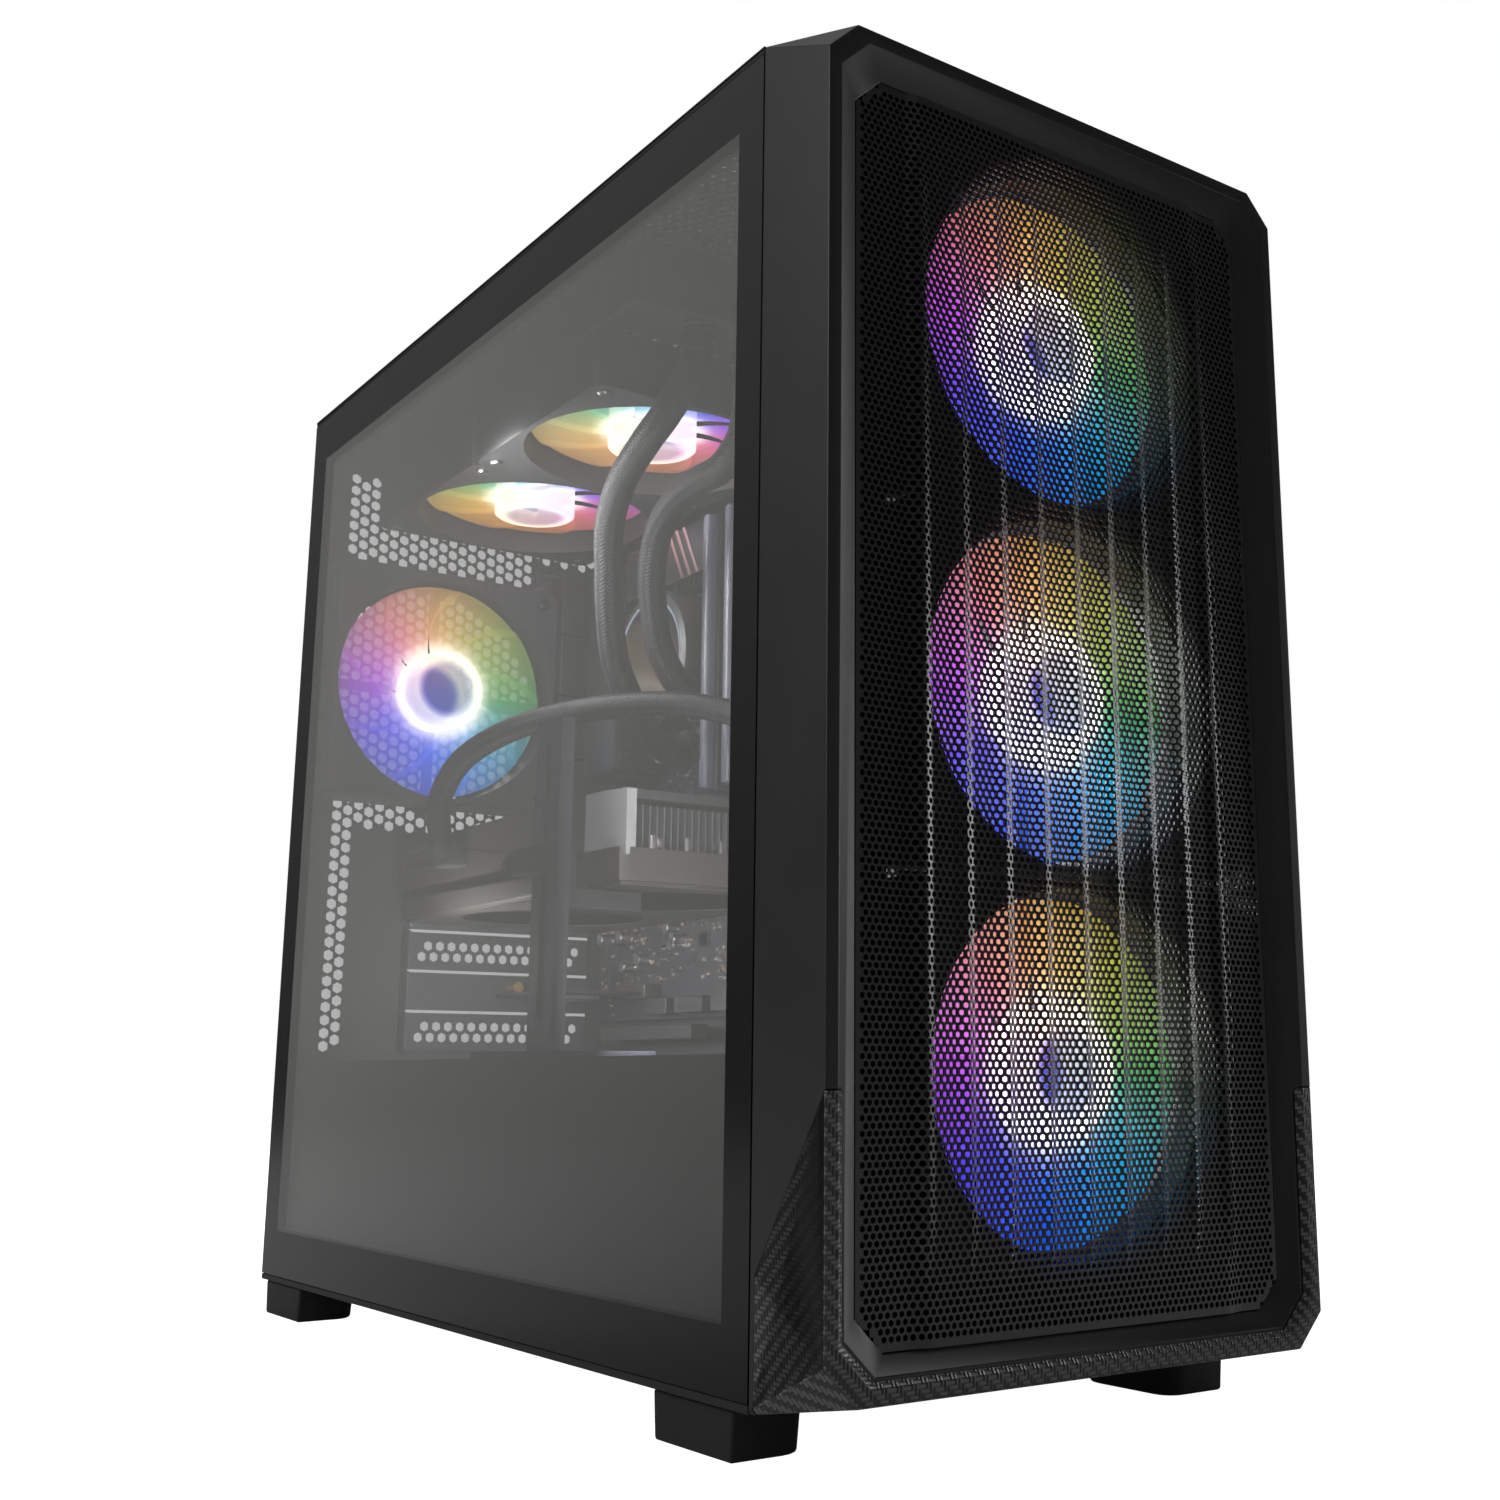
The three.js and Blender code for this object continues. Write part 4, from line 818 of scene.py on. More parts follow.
def makeRear():
    # plate = rectangle less its openings and less the hexagons that stay clear of them; then the sockets
    low, high = corners("rear_panel")
    fanLow, fanHigh = corners("rear_fan_frame")
    fan = (fanLow + fanHigh) / 2
    boardLow = corners("mainboard")[0]
    slots, card = corners("slot_cover_lower"), corners("card_bracket")
    supply = corners("power_supply")
    ioLow = (boardLow[0] - 2.9 * mm, card[1][2] + 7 * mm)
    ioHigh = (boardLow[0] + 41.5 * mm, corners("mainboard")[1][2] + 2 * mm)
    cuts = [rectLoop(ioLow[1], ioHigh[1], ioLow[0], ioHigh[0]),
            rectLoop(slots[0][2] + 2.7 * mm, card[1][2] + 0.2 * mm, slots[0][0] + 4 * mm,
                     slots[1][0] + 1 * mm),
            rectLoop(supply[0][2] + 6 * mm, supply[1][2] - 6 * mm, supply[0][0] + 6 * mm,
                     supply[1][0] - 6 * mm)]
    for name in ("glass_lower", "glass_upper", "right_lower", "right_upper"):
        middle = sum(corners("thumbscrew_" + name)) / 2
        cuts.append(circleLoop((middle[2], middle[0]), 2.3 * mm, 14))
    spots = hexField(zones, fan, case["hexCircle"])
    clear = np.ones(len(spots), bool)
    for loop in cuts[:3]:
        a, b = loop.min(0) - case["openingEdge"], loop.max(0) + case["openingEdge"]
        clear &= ~((spots > a).all(1) & (spots < b).all(1))
    spots = spots[clear]
    holes = [circleLoop(spot, case["rearHole"], 6) for spot in spots]
    holes.append(rectLoop(172 * mm, 177 * mm, -93 * mm, -91 * mm))
    plate = cutPlate(rectLoop(low[2], high[2], low[0], high[0]), cuts + holes, low[1], high[1], "y")
    addPiece("rearPanel", [plate], paint["inside"], "chassis", ["rear_panel"])

    # fan screws and rivets outside the plate
    heads = [(fan[0] + i * 52.5 * mm, high[1], fan[2] + j * 52.5 * mm) for i in (-1, 1) for j in (-1, 1)]
    dome = np.array([(0.2, -0.6), (3.4, -0.6), (3.4, 0.3), (2.6, 1.1), (1.2, 1.45), (0.8, 0.7), (0.05, 0.6)])
    addPiece("rearPanelScrews", [lathes(dome * mm, heads, "y", 18)], paint["blackZinc"])

    # the connector shield fills its opening, with a hole for each socket
    sockets = []
    ioTop = corners("mainboard")[1][2] - 6 * mm
    for row in range(4):
        z = ioTop - (16 + 34 * row) * mm
        for inset in (8, 22):
            x = boardLow[0] + inset * mm
            sockets.append((x, x + 6.5 * mm, z - 6.8 * mm, z + 6.8 * mm))
    rim = rectLoop(ioLow[1] + 0.2 * mm, ioHigh[1] - 0.2 * mm, ioLow[0] + 0.2 * mm, ioHigh[0] - 0.2 * mm)
    shield = cutPlate(rim, [rectLoop(z0, z1, x0, x1) for x0, x1, z0, z1 in sockets],
                      low[1] + 0.1 * mm, high[1] - 0.2 * mm, "y")
    addPiece("connectorShield", [shield], paint["steel"])
    rear = low[1] - 2 * mm
    tongues = np.array([((x0 + x1) / 2 - 1 * mm, rear - 11 * mm, z0 + 2 * mm) for x0, x1, z0, z1 in sockets])
    ends = np.array([((x0 + x1) / 2 + 1 * mm, rear - 1 * mm, z1 - 2 * mm) for x0, x1, z0, z1 in sockets])
    addPiece("socketTongues", [softBoxes(tongues, ends, axis="y", edge=0.3 * mm)], paint["portBlue"])
    collars = []
    for x0, x1, z0, z1 in sockets:
        outer = rectLoop(z0 - 0.1 * mm, z1 + 0.1 * mm, x0 - 0.1 * mm, x1 + 0.1 * mm)
        inner = rectLoop(z0 + 0.5 * mm, z1 - 0.5 * mm, x0 + 0.5 * mm, x1 - 0.5 * mm)
        collars.append(cutPlate(outer, [inner], high[1] - 1.4 * mm, high[1] + 0.6 * mm, "y"))
    addPiece("socketCollars", collars, paint["screwSteel"])


def makeThumbscrews():
    # knurled head: radius x (1 - 0.035 x (1 - cos 24 a) / 2), on a plain stem
    for name in ("glass_lower", "glass_upper", "right_lower", "right_upper"):
        node = "thumbscrew_" + name
        low, high = corners(node)
        middle = (low + high) / 2
        head, front, back = (high[0] - low[0]) / 2, high[1] - 5.2 * mm, high[1]
        profile = [(head - 0.9 * mm, front), (head, front + 0.6 * mm), (head, back - 0.8 * mm),
                   (head - 0.8 * mm, back), (2.4 * mm, back), (2.0 * mm, back - 0.9 * mm),
                   (0.02 * mm, back - 1.0 * mm)]
        grip = lathe(profile, (middle[0], 0, middle[2]), "y", 72,
                     lambda angle: 1 - 0.035 * (0.5 - 0.5 * np.cos(24 * angle)))
        shank = [(0.02 * mm, low[1]), (1.2 * mm, low[1]), (1.6 * mm, low[1] + 0.5 * mm),
                 (1.6 * mm, front + 0.5 * mm), (0.02 * mm, front + 0.5 * mm)]
        stem = lathe(shank, (middle[0], 0, middle[2]), "y", 16)
        addPiece(f"thumbscrew{pieceTitle(name)}", [grip, stem], paint["blackZinc"],
                 node, [node])


def makeSides():
    # the pane keeps its CAD shape and takes the painted reflection; its frame and the right panel are
    # softened
    # pane colours are a painted reflection: lighter at the rear, darker at the front and foot, and on the
    # border lighter at the top
    look = {"front": 14.4 * mm, "rear": 18 * mm, "foot": 20 * mm, "top": 22 * mm, "roughness": 0.16,
            "specular": 0.22, "paintedReflectionFront": (0.26, 0.258, 0.248), "paintedReflectionRear": (0.4, 0.395, 0.385),
            "footFront": (0.07, 0.07, 0.07), "footRear": (0.3, 0.3, 0.295), "shade": 150 * mm,
            "borderFoot": (0.002, 0.002, 0.002), "borderTop": (0.05, 0.049, 0.048), "paintedReflectionCover": 0.44}
    pane = frame["nodes"]["glass_pane"]
    low, high = corners("glass_pane")
    pane.data.materials.clear()
    pane.data.materials.append(paneMaterial(look, low, high))
    softCopy("glassFrame", "glass_frame", paint["powder"], 0.2 * mm)
    softCopy("rightPanel", "right_panel", paint["powder"], 0.5 * mm)


def makeControls():
    # button: a turned disc whose face dips 0.7 mm towards its middle; port tongues and headset ring
    softCopy("controlStrip", "control_strip", paint["satin"], 0.35 * mm)
    low, high = corners("power_button")
    middle = (low + high) / 2
    reach, top = (high[0] - low[0]) / 2, high[2]
    profile = [(0.02 * mm, low[2]), (reach, low[2]), (reach, top - 0.7 * mm),
               (reach - 0.6 * mm, top - 0.1 * mm),
               (reach - 1.2 * mm, top), (reach - 2.4 * mm, top - 0.35 * mm), (0.02 * mm, top - 0.7 * mm)]
    addPiece("powerButton", [lathe(profile, (middle[0], middle[1], 0), "z", 48)], paint["darkPlastic"],
             "power_button", ["power_button"])
    stripLow, stripHigh = corners("control_strip")
    y, z = (stripLow[1] + stripHigh[1]) / 2, stripHigh[2]
    tongues = [box((x - 5) * mm, (x + 5) * mm, y - 1.9 * mm, y - 0.2 * mm, z - 6 * mm, z - 0.9 * mm)
               for x in (6, 26)]
    addPiece("frontPortTongues", tongues, paint["portBlue"])
    ring = [(1.5 * mm, z - 4 * mm), (1.85 * mm, z - 4 * mm), (1.85 * mm, z - 0.3 * mm),
            (1.5 * mm, z - 0.3 * mm)]
    jack = lathe(ring + ring[:1], (43 * mm, y, 0), "z", 24)
    addPiece("headsetJack", [jack], paint["screwSteel"])


makeTop()
makeBottom()
makeRear()
makeThumbscrews()
makeSides()
makeControls()
for node, finish in (("front_wall", "inside"), ("mainboard_tray", "inside"), ("supply_shroud", "inside")):
    mesh = frame["nodes"][node].data
    mesh.materials.clear()
    mesh.materials.append(paint[finish])
print("case ready")


# Fans

fans = {
    "front_fan_bottom": dict(axis="y", glow=6.0),
    "front_fan_middle": dict(axis="y", glow=6.0),
    "front_fan_top": dict(axis="y", glow=6.0),
    "rear_fan": dict(axis="y", glow=8.5),
    "radiator_fan_front": dict(axis="z", glow=8.5),
    "radiator_fan_rear": dict(axis="z", glow=8.5),
}
fanSize = {"hub": 20 * mm, "tip": 55.4 * mm, "blades": 9, "screwHalf": 52.5 * mm}
frontHues = [(0.0, (0.06, 0.38, 0.09)), (0.13, (0.34, 0.42, 0.04)), (0.25, (0.72, 0.40, 0.06)),
             (0.36, (0.79, 0.19, 0.22)), (0.47, (0.48, 0.06, 0.66)), (0.60, (0.09, 0.05, 0.9)),
             (0.74, (0.004, 0.1, 0.9)), (0.88, (0.004, 0.34, 0.62)), (1.0, (0.06, 0.38, 0.09))]
topHues = [(0.0, (0.85, 0.12, 0.35)), (0.15, (0.75, 0.22, 0.05)), (0.38, (0.8, 0.5, 0.06)),
           (0.52, (0.14, 0.5, 0.14)), (0.65, (0.01, 0.45, 0.75)), (0.78, (0.03, 0.12, 0.95)),
           (0.90, (0.45, 0.08, 0.8)), (1.0, (0.85, 0.12, 0.35))]
glowRings = [(0.0, 0.16), (0.2, 0.16), (0.29, 0.6), (0.4, 0.56), (0.52, 0.34), (0.7, 0.26), (0.88, 0.2),
             (1.0, 0.14)]
whiteRings = [(0.0, 0.0), (0.21, 0.0), (0.29, 0.7), (0.4, 0.65), (0.5, 0.15), (0.6, 0.0)]
hubBlue = [(0.0, 0.85), (0.22, 0.75), (0.3, 0.0)]


def colorRamp(tree, value, stops):
    # stops are place and grey or colour pairs
    ramp = shaderNode(tree, "ValToRGB", {0: value})
    ramp.color_ramp.interpolation = "LINEAR"
    points = ramp.color_ramp.elements
    for index, (place, level) in enumerate(stops):
        point = points[index] if index < 2 else points.new(place)
        point.position = place
        point.color = rgb(level) if isinstance(level, tuple) else (level, level, level, 1)
    return ramp.outputs[0]


def litBlades(name, centre, axis, hues, glow, tip):
    # colour = hue at the angle round the axis, going to white near the hub; glow falls off outwards
    material, tree, shader = newMaterial(name, Roughness=0.4)
    shader.inputs["Base Color"].default_value = (0.05, 0.05, 0.055, 1)
    shader.inputs["Alpha"].default_value = 0.5
    where = shaderNode(tree, "TexCoord").outputs["Object"]
    local = shaderNode(tree, "VectorMath", {0: where, 1: tuple(centre)}, operation="SUBTRACT").outputs[0]
    parts = shaderNode(tree, "SeparateXYZ", {0: local})
    right, up = parts.outputs[0], parts.outputs[2 if axis == "y" else 1]
    angle = mathNode(tree, "ARCTAN2", up, right)
    around = mathNode(tree, "FRACT", mathNode(tree, "MULTIPLY_ADD", angle, 1 / fullTurn, 1.0))
    square = mathNode(tree, "MULTIPLY_ADD", up, up, mathNode(tree, "MULTIPLY", right, right))
    reach = mathNode(tree, "DIVIDE", mathNode(tree, "SQRT", square), tip)
    hue = colorRamp(tree, around, hues)
    white = colorRamp(tree, reach, whiteRings)
    hue = shaderNode(tree, "Mix", {0: colorRamp(tree, reach, hubBlue), 6: hue, 7: (0.03, 0.05, 0.8, 1)},
                     data_type="RGBA").outputs[2]
    color = shaderNode(tree, "Mix", {0: white, 6: hue, 7: (1, 0.93, 0.8, 1)}, data_type="RGBA").outputs[2]
    level = colorRamp(tree, reach, glowRings)
    slow = shaderNode(tree, "TexNoise", {"Vector": where, "Scale": 30.0}).outputs[0]
    drift = shaderNode(tree, "MapRange", {"Value": slow, 3: glow * 0.9, 4: glow * 1.1}).outputs[0]
    tree.links.new(color, shader.inputs["Emission Color"])
    tree.links.new(mathNode(tree, "MULTIPLY", level, drift), shader.inputs["Emission Strength"])
    return material


def bladeRing(centre, axis, hubRadius, tip, low, high, count, cover=0.56, swirl=0.5, thick=0.9 * mm,
              tilt=1.0):
    # blade point: radius r, angle = swirl s^1.3 + t x half span, height = middle + tilt t + arch(1 - t^2),
    # with an elliptic thickness round t = cos f; s runs along the blade and f round its section
    s = np.linspace(0, 1, 9)[:, None]
    f = np.linspace(0, fullTurn, 18, endpoint=False)
    t = np.cos(f)
    radius = hubRadius - 0.6 * mm + s * (tip - hubRadius + 0.6 * mm) + 0 * t
    span = cover * fullTurn / count * (0.86 + 0.14 * s)
    span = span * np.minimum(1, 0.94 + 0.6 * (1 - s) ** 0.5)
    angle = swirl * s ** 1.3 + t * span
    depth = ((high - low) / 2 - thick) * tilt
    height = (low + high) / 2 + depth * (0.92 - 0.3 * s) * t + 1.4 * mm * tilt * (1 - t ** 2) * s
    height = height + thick / 2 * np.sin(f)
    turn = angle[None] + (np.arange(count) * fullTurn / count)[:, None, None]
    flat = np.stack([radius * np.cos(turn), radius * np.sin(turn)], -1)
    loops = onAxis(flat, np.broadcast_to(height, turn.shape), axis)
    offset = np.array(centre, float)
    offset["xyz".index(axis)] = 0
    return loftMany(loops + offset)


def hubCap(centre, axis, radius, low, high):
    # a shallow domed cap with a round shoulder on its front side
    rise = np.array([(0.02, 0.4), (0.25, 0.36), (0.55, 0.2), (0.84, 0.0), (0.95, 0.5), (1.0, 1.3)])
    radii = rise[:, 0] * radius
    front = rise[:, 1] * mm
    heights = np.concatenate([low + front, [high, high]])
    radii = np.concatenate([radii, [radius, 0.02 * radius]])
    spot = np.array(centre, float)
    spot["xyz".index(axis)] = 0
    return lathe(np.stack([radii, heights], -1), spot, axis, 48)


def makeLitFans():
    # frame, then blades and cap on one lit rotor; screws at the corners of a square of twice screwHalf
    for name, look in fans.items():
        axis = look["axis"]
        third = "xyz".index(axis)
        title = pieceTitle(name)
        softCopy(f"{title}Frame", f"{name}_frame", paint["fanPlastic"], 0.5 * mm, angle=20)
        low, high = corners(f"{name}_rotor")
        centre = sum(corners(f"{name}_frame")) / 2
        hues = topHues if axis == "z" else frontHues
        material = litBlades(name + "Glow", centre, axis, hues, look["glow"], fanSize["tip"])
        blades = bladeRing(centre, axis, fanSize["hub"], fanSize["tip"], low[third], high[third],
                           fanSize["blades"], 0.58, 0.5, tilt=0.16)
        cap = hubCap(centre, axis, fanSize["hub"], low[third], high[third])
        node = f"{name}_rotor"
        addPiece(f"{title}Rotor", [blades, cap], material, node, [node])

    # screw heads on the faces that show: under the radiator fans and in front of the rear one
    dome = np.array([(0.05, -0.2), (3.0, -0.2), (3.0, -0.5), (2.2, -1.2), (0.05, -1.4)]) * mm
    for name in ("radiator_fan_front", "radiator_fan_rear", "rear_fan"):
        low, high = corners(f"{name}_frame")
        third = "xyz".index(fans[name]["axis"])
        first, second, _ = axisOrder(fans[name]["axis"])
        middle = (low + high) / 2
        spots = []
        for i in (-1, 1):
            for j in (-1, 1):
                spot = middle.copy()
                spot[first] += i * fanSize["screwHalf"]
                spot[second] += j * fanSize["screwHalf"]
                spot[third] = low[third]
                spots.append(spot)
        spots = np.array(spots)
        cross = []
        for wide, tall in ((1.7, 0.3), (0.3, 1.7)):
            a, b = spots.copy(), spots.copy()
            a[:, first] -= wide * mm
            b[:, first] += wide * mm
            a[:, second] -= tall * mm
            b[:, second] += tall * mm
            a[:, third] -= 1.52 * mm
            b[:, third] -= 0.9 * mm
            cross.append(hardBoxes(a, b))
        title = pieceTitle(name)
        addPiece(f"{title}Screws", [lathes(dome, spots, fans[name]["axis"], 20)],
                 paint["screwSteel"] if third == 2 else paint["blackZinc"])
        addPiece(f"{title}ScrewSlots", cross, paint["darkPlastic"])


def makePlainFans():
    # rotors of the card and the supply: unlit blades round a domed cap
    for name, body in (("card_fan_front_rotor", "Front"), ("card_fan_rear_rotor", "Rear")):
        low, high = corners(name)
        centre = (low + high) / 2
        blades = bladeRing(centre, "z", 15 * mm, 42 * mm, low[2], high[2], 11, 0.4, 0.7)
        cap = hubCap(centre, "z", 15 * mm, low[2], high[2])
        addPiece(f"cardFan{body}", [blades, cap], paint["darkPlastic"], name, [name])
    name = "supply_fan_rotor"
    low, high = corners(name)
    centre = (low + high) / 2
    blades = bladeRing(centre, "z", fanSize["hub"], fanSize["tip"], low[2], high[2], fanSize["blades"], 0.42,
                       0.6)
    cap = hubCap(centre, "z", fanSize["hub"], low[2], high[2])
    addPiece("supplyFan", [blades, cap], paint["darkPlastic"], name, [name])


makeLitFans()
makePlainFans()
print("fans ready")


# Liquid cooler

cooler = {"tubeSides": 28, "tubeRings": 190, "strands": 20, "strandLength": 1.9 * mm, "tubeRadius": 6.5 * mm,
          "fins": 92, "channels": 11}
supplyTube = [(-40, 182, 407), (-40, 182, 400), (-42, 186, 391), (-45, 197, 379), (-45, 217, 370),
              (-43, 239, 360), (-39, 256, 346), (-33, 267, 331), (-26, 278, 313), (-18, 287, 295),
              (-8, 291, 279), (4, 294, 266), (16, 299, 259), (28, 306, 259), (37, 311.5, 264)]
returnTube = [(-15, 182, 407), (-15, 182, 398), (-15, 182, 386), (-15, 186, 372), (-15, 200, 363),
              (-13, 226, 363), (-10, 252, 360), (-6, 272, 351), (-2, 283, 336), (3, 289, 320),
              (8, 291, 304), (15, 289, 290), (27, 289, 279), (37, 293, 274)]
cardCable = [(78, 188, 236), (66, 188, 238), (40, 190, 244), (18, 204, 254), (-8, 236, 266), (-34, 280, 268),
             (-54, 322, 262), (-64, 350, 250), (-67, 362, 234), (-65, 364, 218), (-61, 364, 209)]


def routePoints(route):
    # a route counted from the front rim in millimetres, in the frame's metres
    front = corners("front_bezel")[0][1]
    return np.array(route, float) * mm + np.array([0, front, 0])


def braidUv(path, sides, strands, length):
    # diagonal strand counts: (u + v, u - v), u round the tube and v along it
    steps = np.linalg.norm(np.diff(path, axis=0), axis=1)
    along = np.concatenate([[0], np.cumsum(steps)]) / length
    i, j = np.meshgrid(np.arange(len(path) - 1), np.arange(sides), indexing="ij")
    u = np.stack([j, j + 1, j + 1, j], -1) * strands / sides
    v = along[np.stack([i, i, i + 1, i + 1], -1)]
    flat = np.stack([u + v, u - v], -1).reshape(-1, 2)
    return np.concatenate([flat, np.zeros((2 * sides, 2))])


def braidedTube(name, route, radius, node, sides, rings, strands, length):
    # tube of one radius on the route's smooth curve, with counts of strands as its UV
    path = smoothPath(routePoints(route), rings)
    addPiece(name, [sweptTube(path, radius, sides)], braid, "chassis", [node],
             smooth=60, recalc=False, uv=braidUv(path, sides, strands, length))
    return path


def collar(path, start, end, radius, lip):
    # a turned sleeve round a short stretch of a path, thicker at both of its ends
    piece = path[start:end]
    t = np.linspace(0, 1, len(piece))
    reach = radius + lip * (np.abs(2 * t - 1) > 0.72)
    return sweptTube(piece, reach, 28)


def makeTubes():
    # both hoses, and a ferrule at each of their ends
    look = cooler
    sleeves = []
    for name, route in (("supply", supplyTube), ("return", returnTube)):
        path = braidedTube(f"{name}Tube", route, look["tubeRadius"], f"coolant_tube_{name}",
                           look["tubeSides"], look["tubeRings"], look["strands"], look["strandLength"])
        dense = smoothPath(path, 900)
        sleeves += [collar(dense, 8, 60, 7.2 * mm, 0.5 * mm), collar(dense, 845, 890, 7.1 * mm, 0.5 * mm)]
    addPiece("tubeFerrules", sleeves, paint["heatPlate"])


def makeRadiator():
    # tanks, rails and ports; water channels evenly spaced across x and fins evenly along y
    low, high = corners("radiator")
    foot = low[2] + 5 * mm
    front, rear = low[1] + 31 * mm, high[1] - 9 * mm
    tanks = softBoxes([[low[0], low[1], foot], [low[0], rear, foot]],
                      [[high[0], front, high[2]], [high[0], high[1], high[2]]], corner=5 * mm, edge=1.6 * mm,
                      steps=5, rise=4)
    rails = softBoxes([[low[0], front - 2 * mm, foot], [high[0] - 1.6 * mm, front - 2 * mm, foot],
                       [low[0], front - 2 * mm, foot], [high[0] - 7 * mm, front - 2 * mm, foot]],
                      [[low[0] + 1.6 * mm, rear + 2 * mm, high[2]], [high[0], rear + 2 * mm, high[2]],
                       [low[0] + 7 * mm, rear + 2 * mm, foot + 1.2 * mm],
                       [high[0], rear + 2 * mm, foot + 1.2 * mm]], edge=0.3 * mm)
    ports = [lathe([(0.02 * mm, foot + 1 * mm), (8.4 * mm, foot + 1 * mm), (8.4 * mm, foot - 1.2 * mm),
                    (7.5 * mm, foot - 1.8 * mm), (7.5 * mm, low[2]), (0.02 * mm, low[2])],
                   (x * mm, -51.4 * mm, 0), "z", 6 if x < 0 else 32) for x in (-40, -15)]
    addPiece("radiatorBody", [tanks, rails, *ports], paint["powder"], "chassis", ["radiator"])
    # flat water channels with thin fins between them
    xs = np.linspace(low[0] + 9 * mm, high[0] - 9 * mm, cooler["channels"])
    a = np.column_stack([xs - 0.9 * mm, np.full(len(xs), front - 1 * mm), np.full(len(xs), foot + 3 * mm)])
    b = np.column_stack([xs + 0.9 * mm, np.full(len(xs), rear + 1 * mm), np.full(len(xs), high[2] - 3 * mm)])
    ys = np.linspace(front + 2 * mm, rear - 2 * mm, cooler["fins"])
    c = np.column_stack([np.full(len(ys), low[0] + 2 * mm), ys - 0.15 * mm, np.full(len(ys), foot + 4 * mm)])
    d = np.column_stack([np.full(len(ys), high[0] - 2 * mm), ys + 0.15 * mm,
                         np.full(len(ys), high[2] - 4 * mm)])
    addPiece("radiatorFins", [hardBoxes(a, b), hardBoxes(c, d)], paint["heatPlate"])


def makePump():
    # drum, lid and ring turned round x; cold plate and crossed arms; nuts at the arms' ends; elbows
    low, high = corners("pump_block")
    middle = (low + high) / 2
    y, z = middle[1], middle[2]
    face, base = low[0], high[0]
    cold = softBoxes([[base - 8 * mm, y - 34 * mm, z - 34 * mm]], [[base, y + 34 * mm, z + 34 * mm]],
                     axis="x",
                     corner=8 * mm, edge=1 * mm, steps=5)
    arms = softBoxes([[base - 7 * mm, y - 42 * mm, z - 5 * mm], [base - 7 * mm, y - 5 * mm, z - 42 * mm]],
                     [[base - 4 * mm, y + 42 * mm, z + 5 * mm], [base - 4 * mm, y + 5 * mm, z + 42 * mm]],
                     axis="x", corner=4 * mm, edge=0.5 * mm)
    radius = 36 * mm
    drum = [(0.02 * mm, base - 6 * mm), (radius - 1 * mm, base - 6 * mm), (radius, base - 7 * mm),
            (radius, base - 14 * mm), (radius - 1.4 * mm, base - 15 * mm),
            (radius - 1.4 * mm, base - 17 * mm),
            (radius, base - 18 * mm), (radius, face + 4 * mm), (radius - 1.2 * mm, face + 1.4 * mm),
            (radius - 4 * mm, face), (radius - 6 * mm, face + 0.9 * mm), (0.02 * mm, face + 0.9 * mm)]
    addPiece("pumpBody", [lathe(drum, (0, y, z), "x", 72), cold, arms], paint["darkPlastic"], "chassis",
             ["pump_block"])
    mirror = lathe([(0.02 * mm, face + 1.1 * mm), (radius - 6.6 * mm, face + 1.1 * mm),
                    (radius - 6.6 * mm, face + 0.45 * mm), (0.02 * mm, face + 0.25 * mm)], (0, y, z), "x", 64)
    addPiece("pumpLid", [mirror], paint["pumpLid"])
    ring = lathe([(radius - 6.5 * mm, face + 1.2 * mm), (radius - 4.9 * mm, face + 1.2 * mm),
                  (radius - 5.1 * mm, face + 0.3 * mm), (radius - 6.3 * mm, face + 0.5 * mm),
                  (radius - 6.5 * mm, face + 1.2 * mm)], (0, y, z), "x", 72)
    addPiece("pumpLightRing", [ring], litMaterial("pumpGlow", (0.55, 0.75, 1.0), 0.5))
    spots = [(base - 4 * mm, y + i, z + j) for i, j in ((38 * mm, 0), (-38 * mm, 0), (0, 38 * mm),
                                                        (0, -38 * mm))]
    nut = np.array([(0.02, 0), (3.6, 0), (3.6, -3.2), (3.0, -4.4), (0.02, -4.6)]) * mm
    addPiece("pumpNuts", [lathes(nut, spots, "x", 18)], paint["screwSteel"])
    # rotary elbows where the hoses meet the pump's front side
    ends = []
    for route in (supplyTube, returnTube):
        last = routePoints(route)[-1]
        run = np.array([last - [4 * mm, 0, 0], last, last + [5 * mm, 1 * mm, 1 * mm]])
        ends.append(sweptTube(smoothPath(run, 12), 7.6 * mm, 24))
    addPiece("pumpElbows", ends, paint["heatPlate"])


paint["pumpLid"] = grained("pumpLid", (0.01, 0.01, 0.013), 0.08, specular=0.6, grain=400, bump=0.02, tone=0.2)
makeTubes()
makeRadiator()
makePump()
braidedTube("cardPowerCable", cardCable, 5.5 * mm, "card_power_cable", 24, 150, 16, 1.7 * mm)
print("cooler ready")


# Mainboard and memory

board = {"seed": 11, "sheet": 1.6 * mm, "chips": 70, "smallParts": 900, "caps": 34}


def standing(rows, faceX):
    # boxes standing on the board: rows of y0, y1, z0, z1, height, foot, all in millimetres
    rows = np.atleast_2d(np.array(rows, float)) * mm
    lows = np.column_stack([faceX - rows[:, 5] - rows[:, 4], rows[:, 0], rows[:, 2]])
    highs = np.column_stack([faceX - rows[:, 5], rows[:, 1], rows[:, 3]])
    return lows, highs


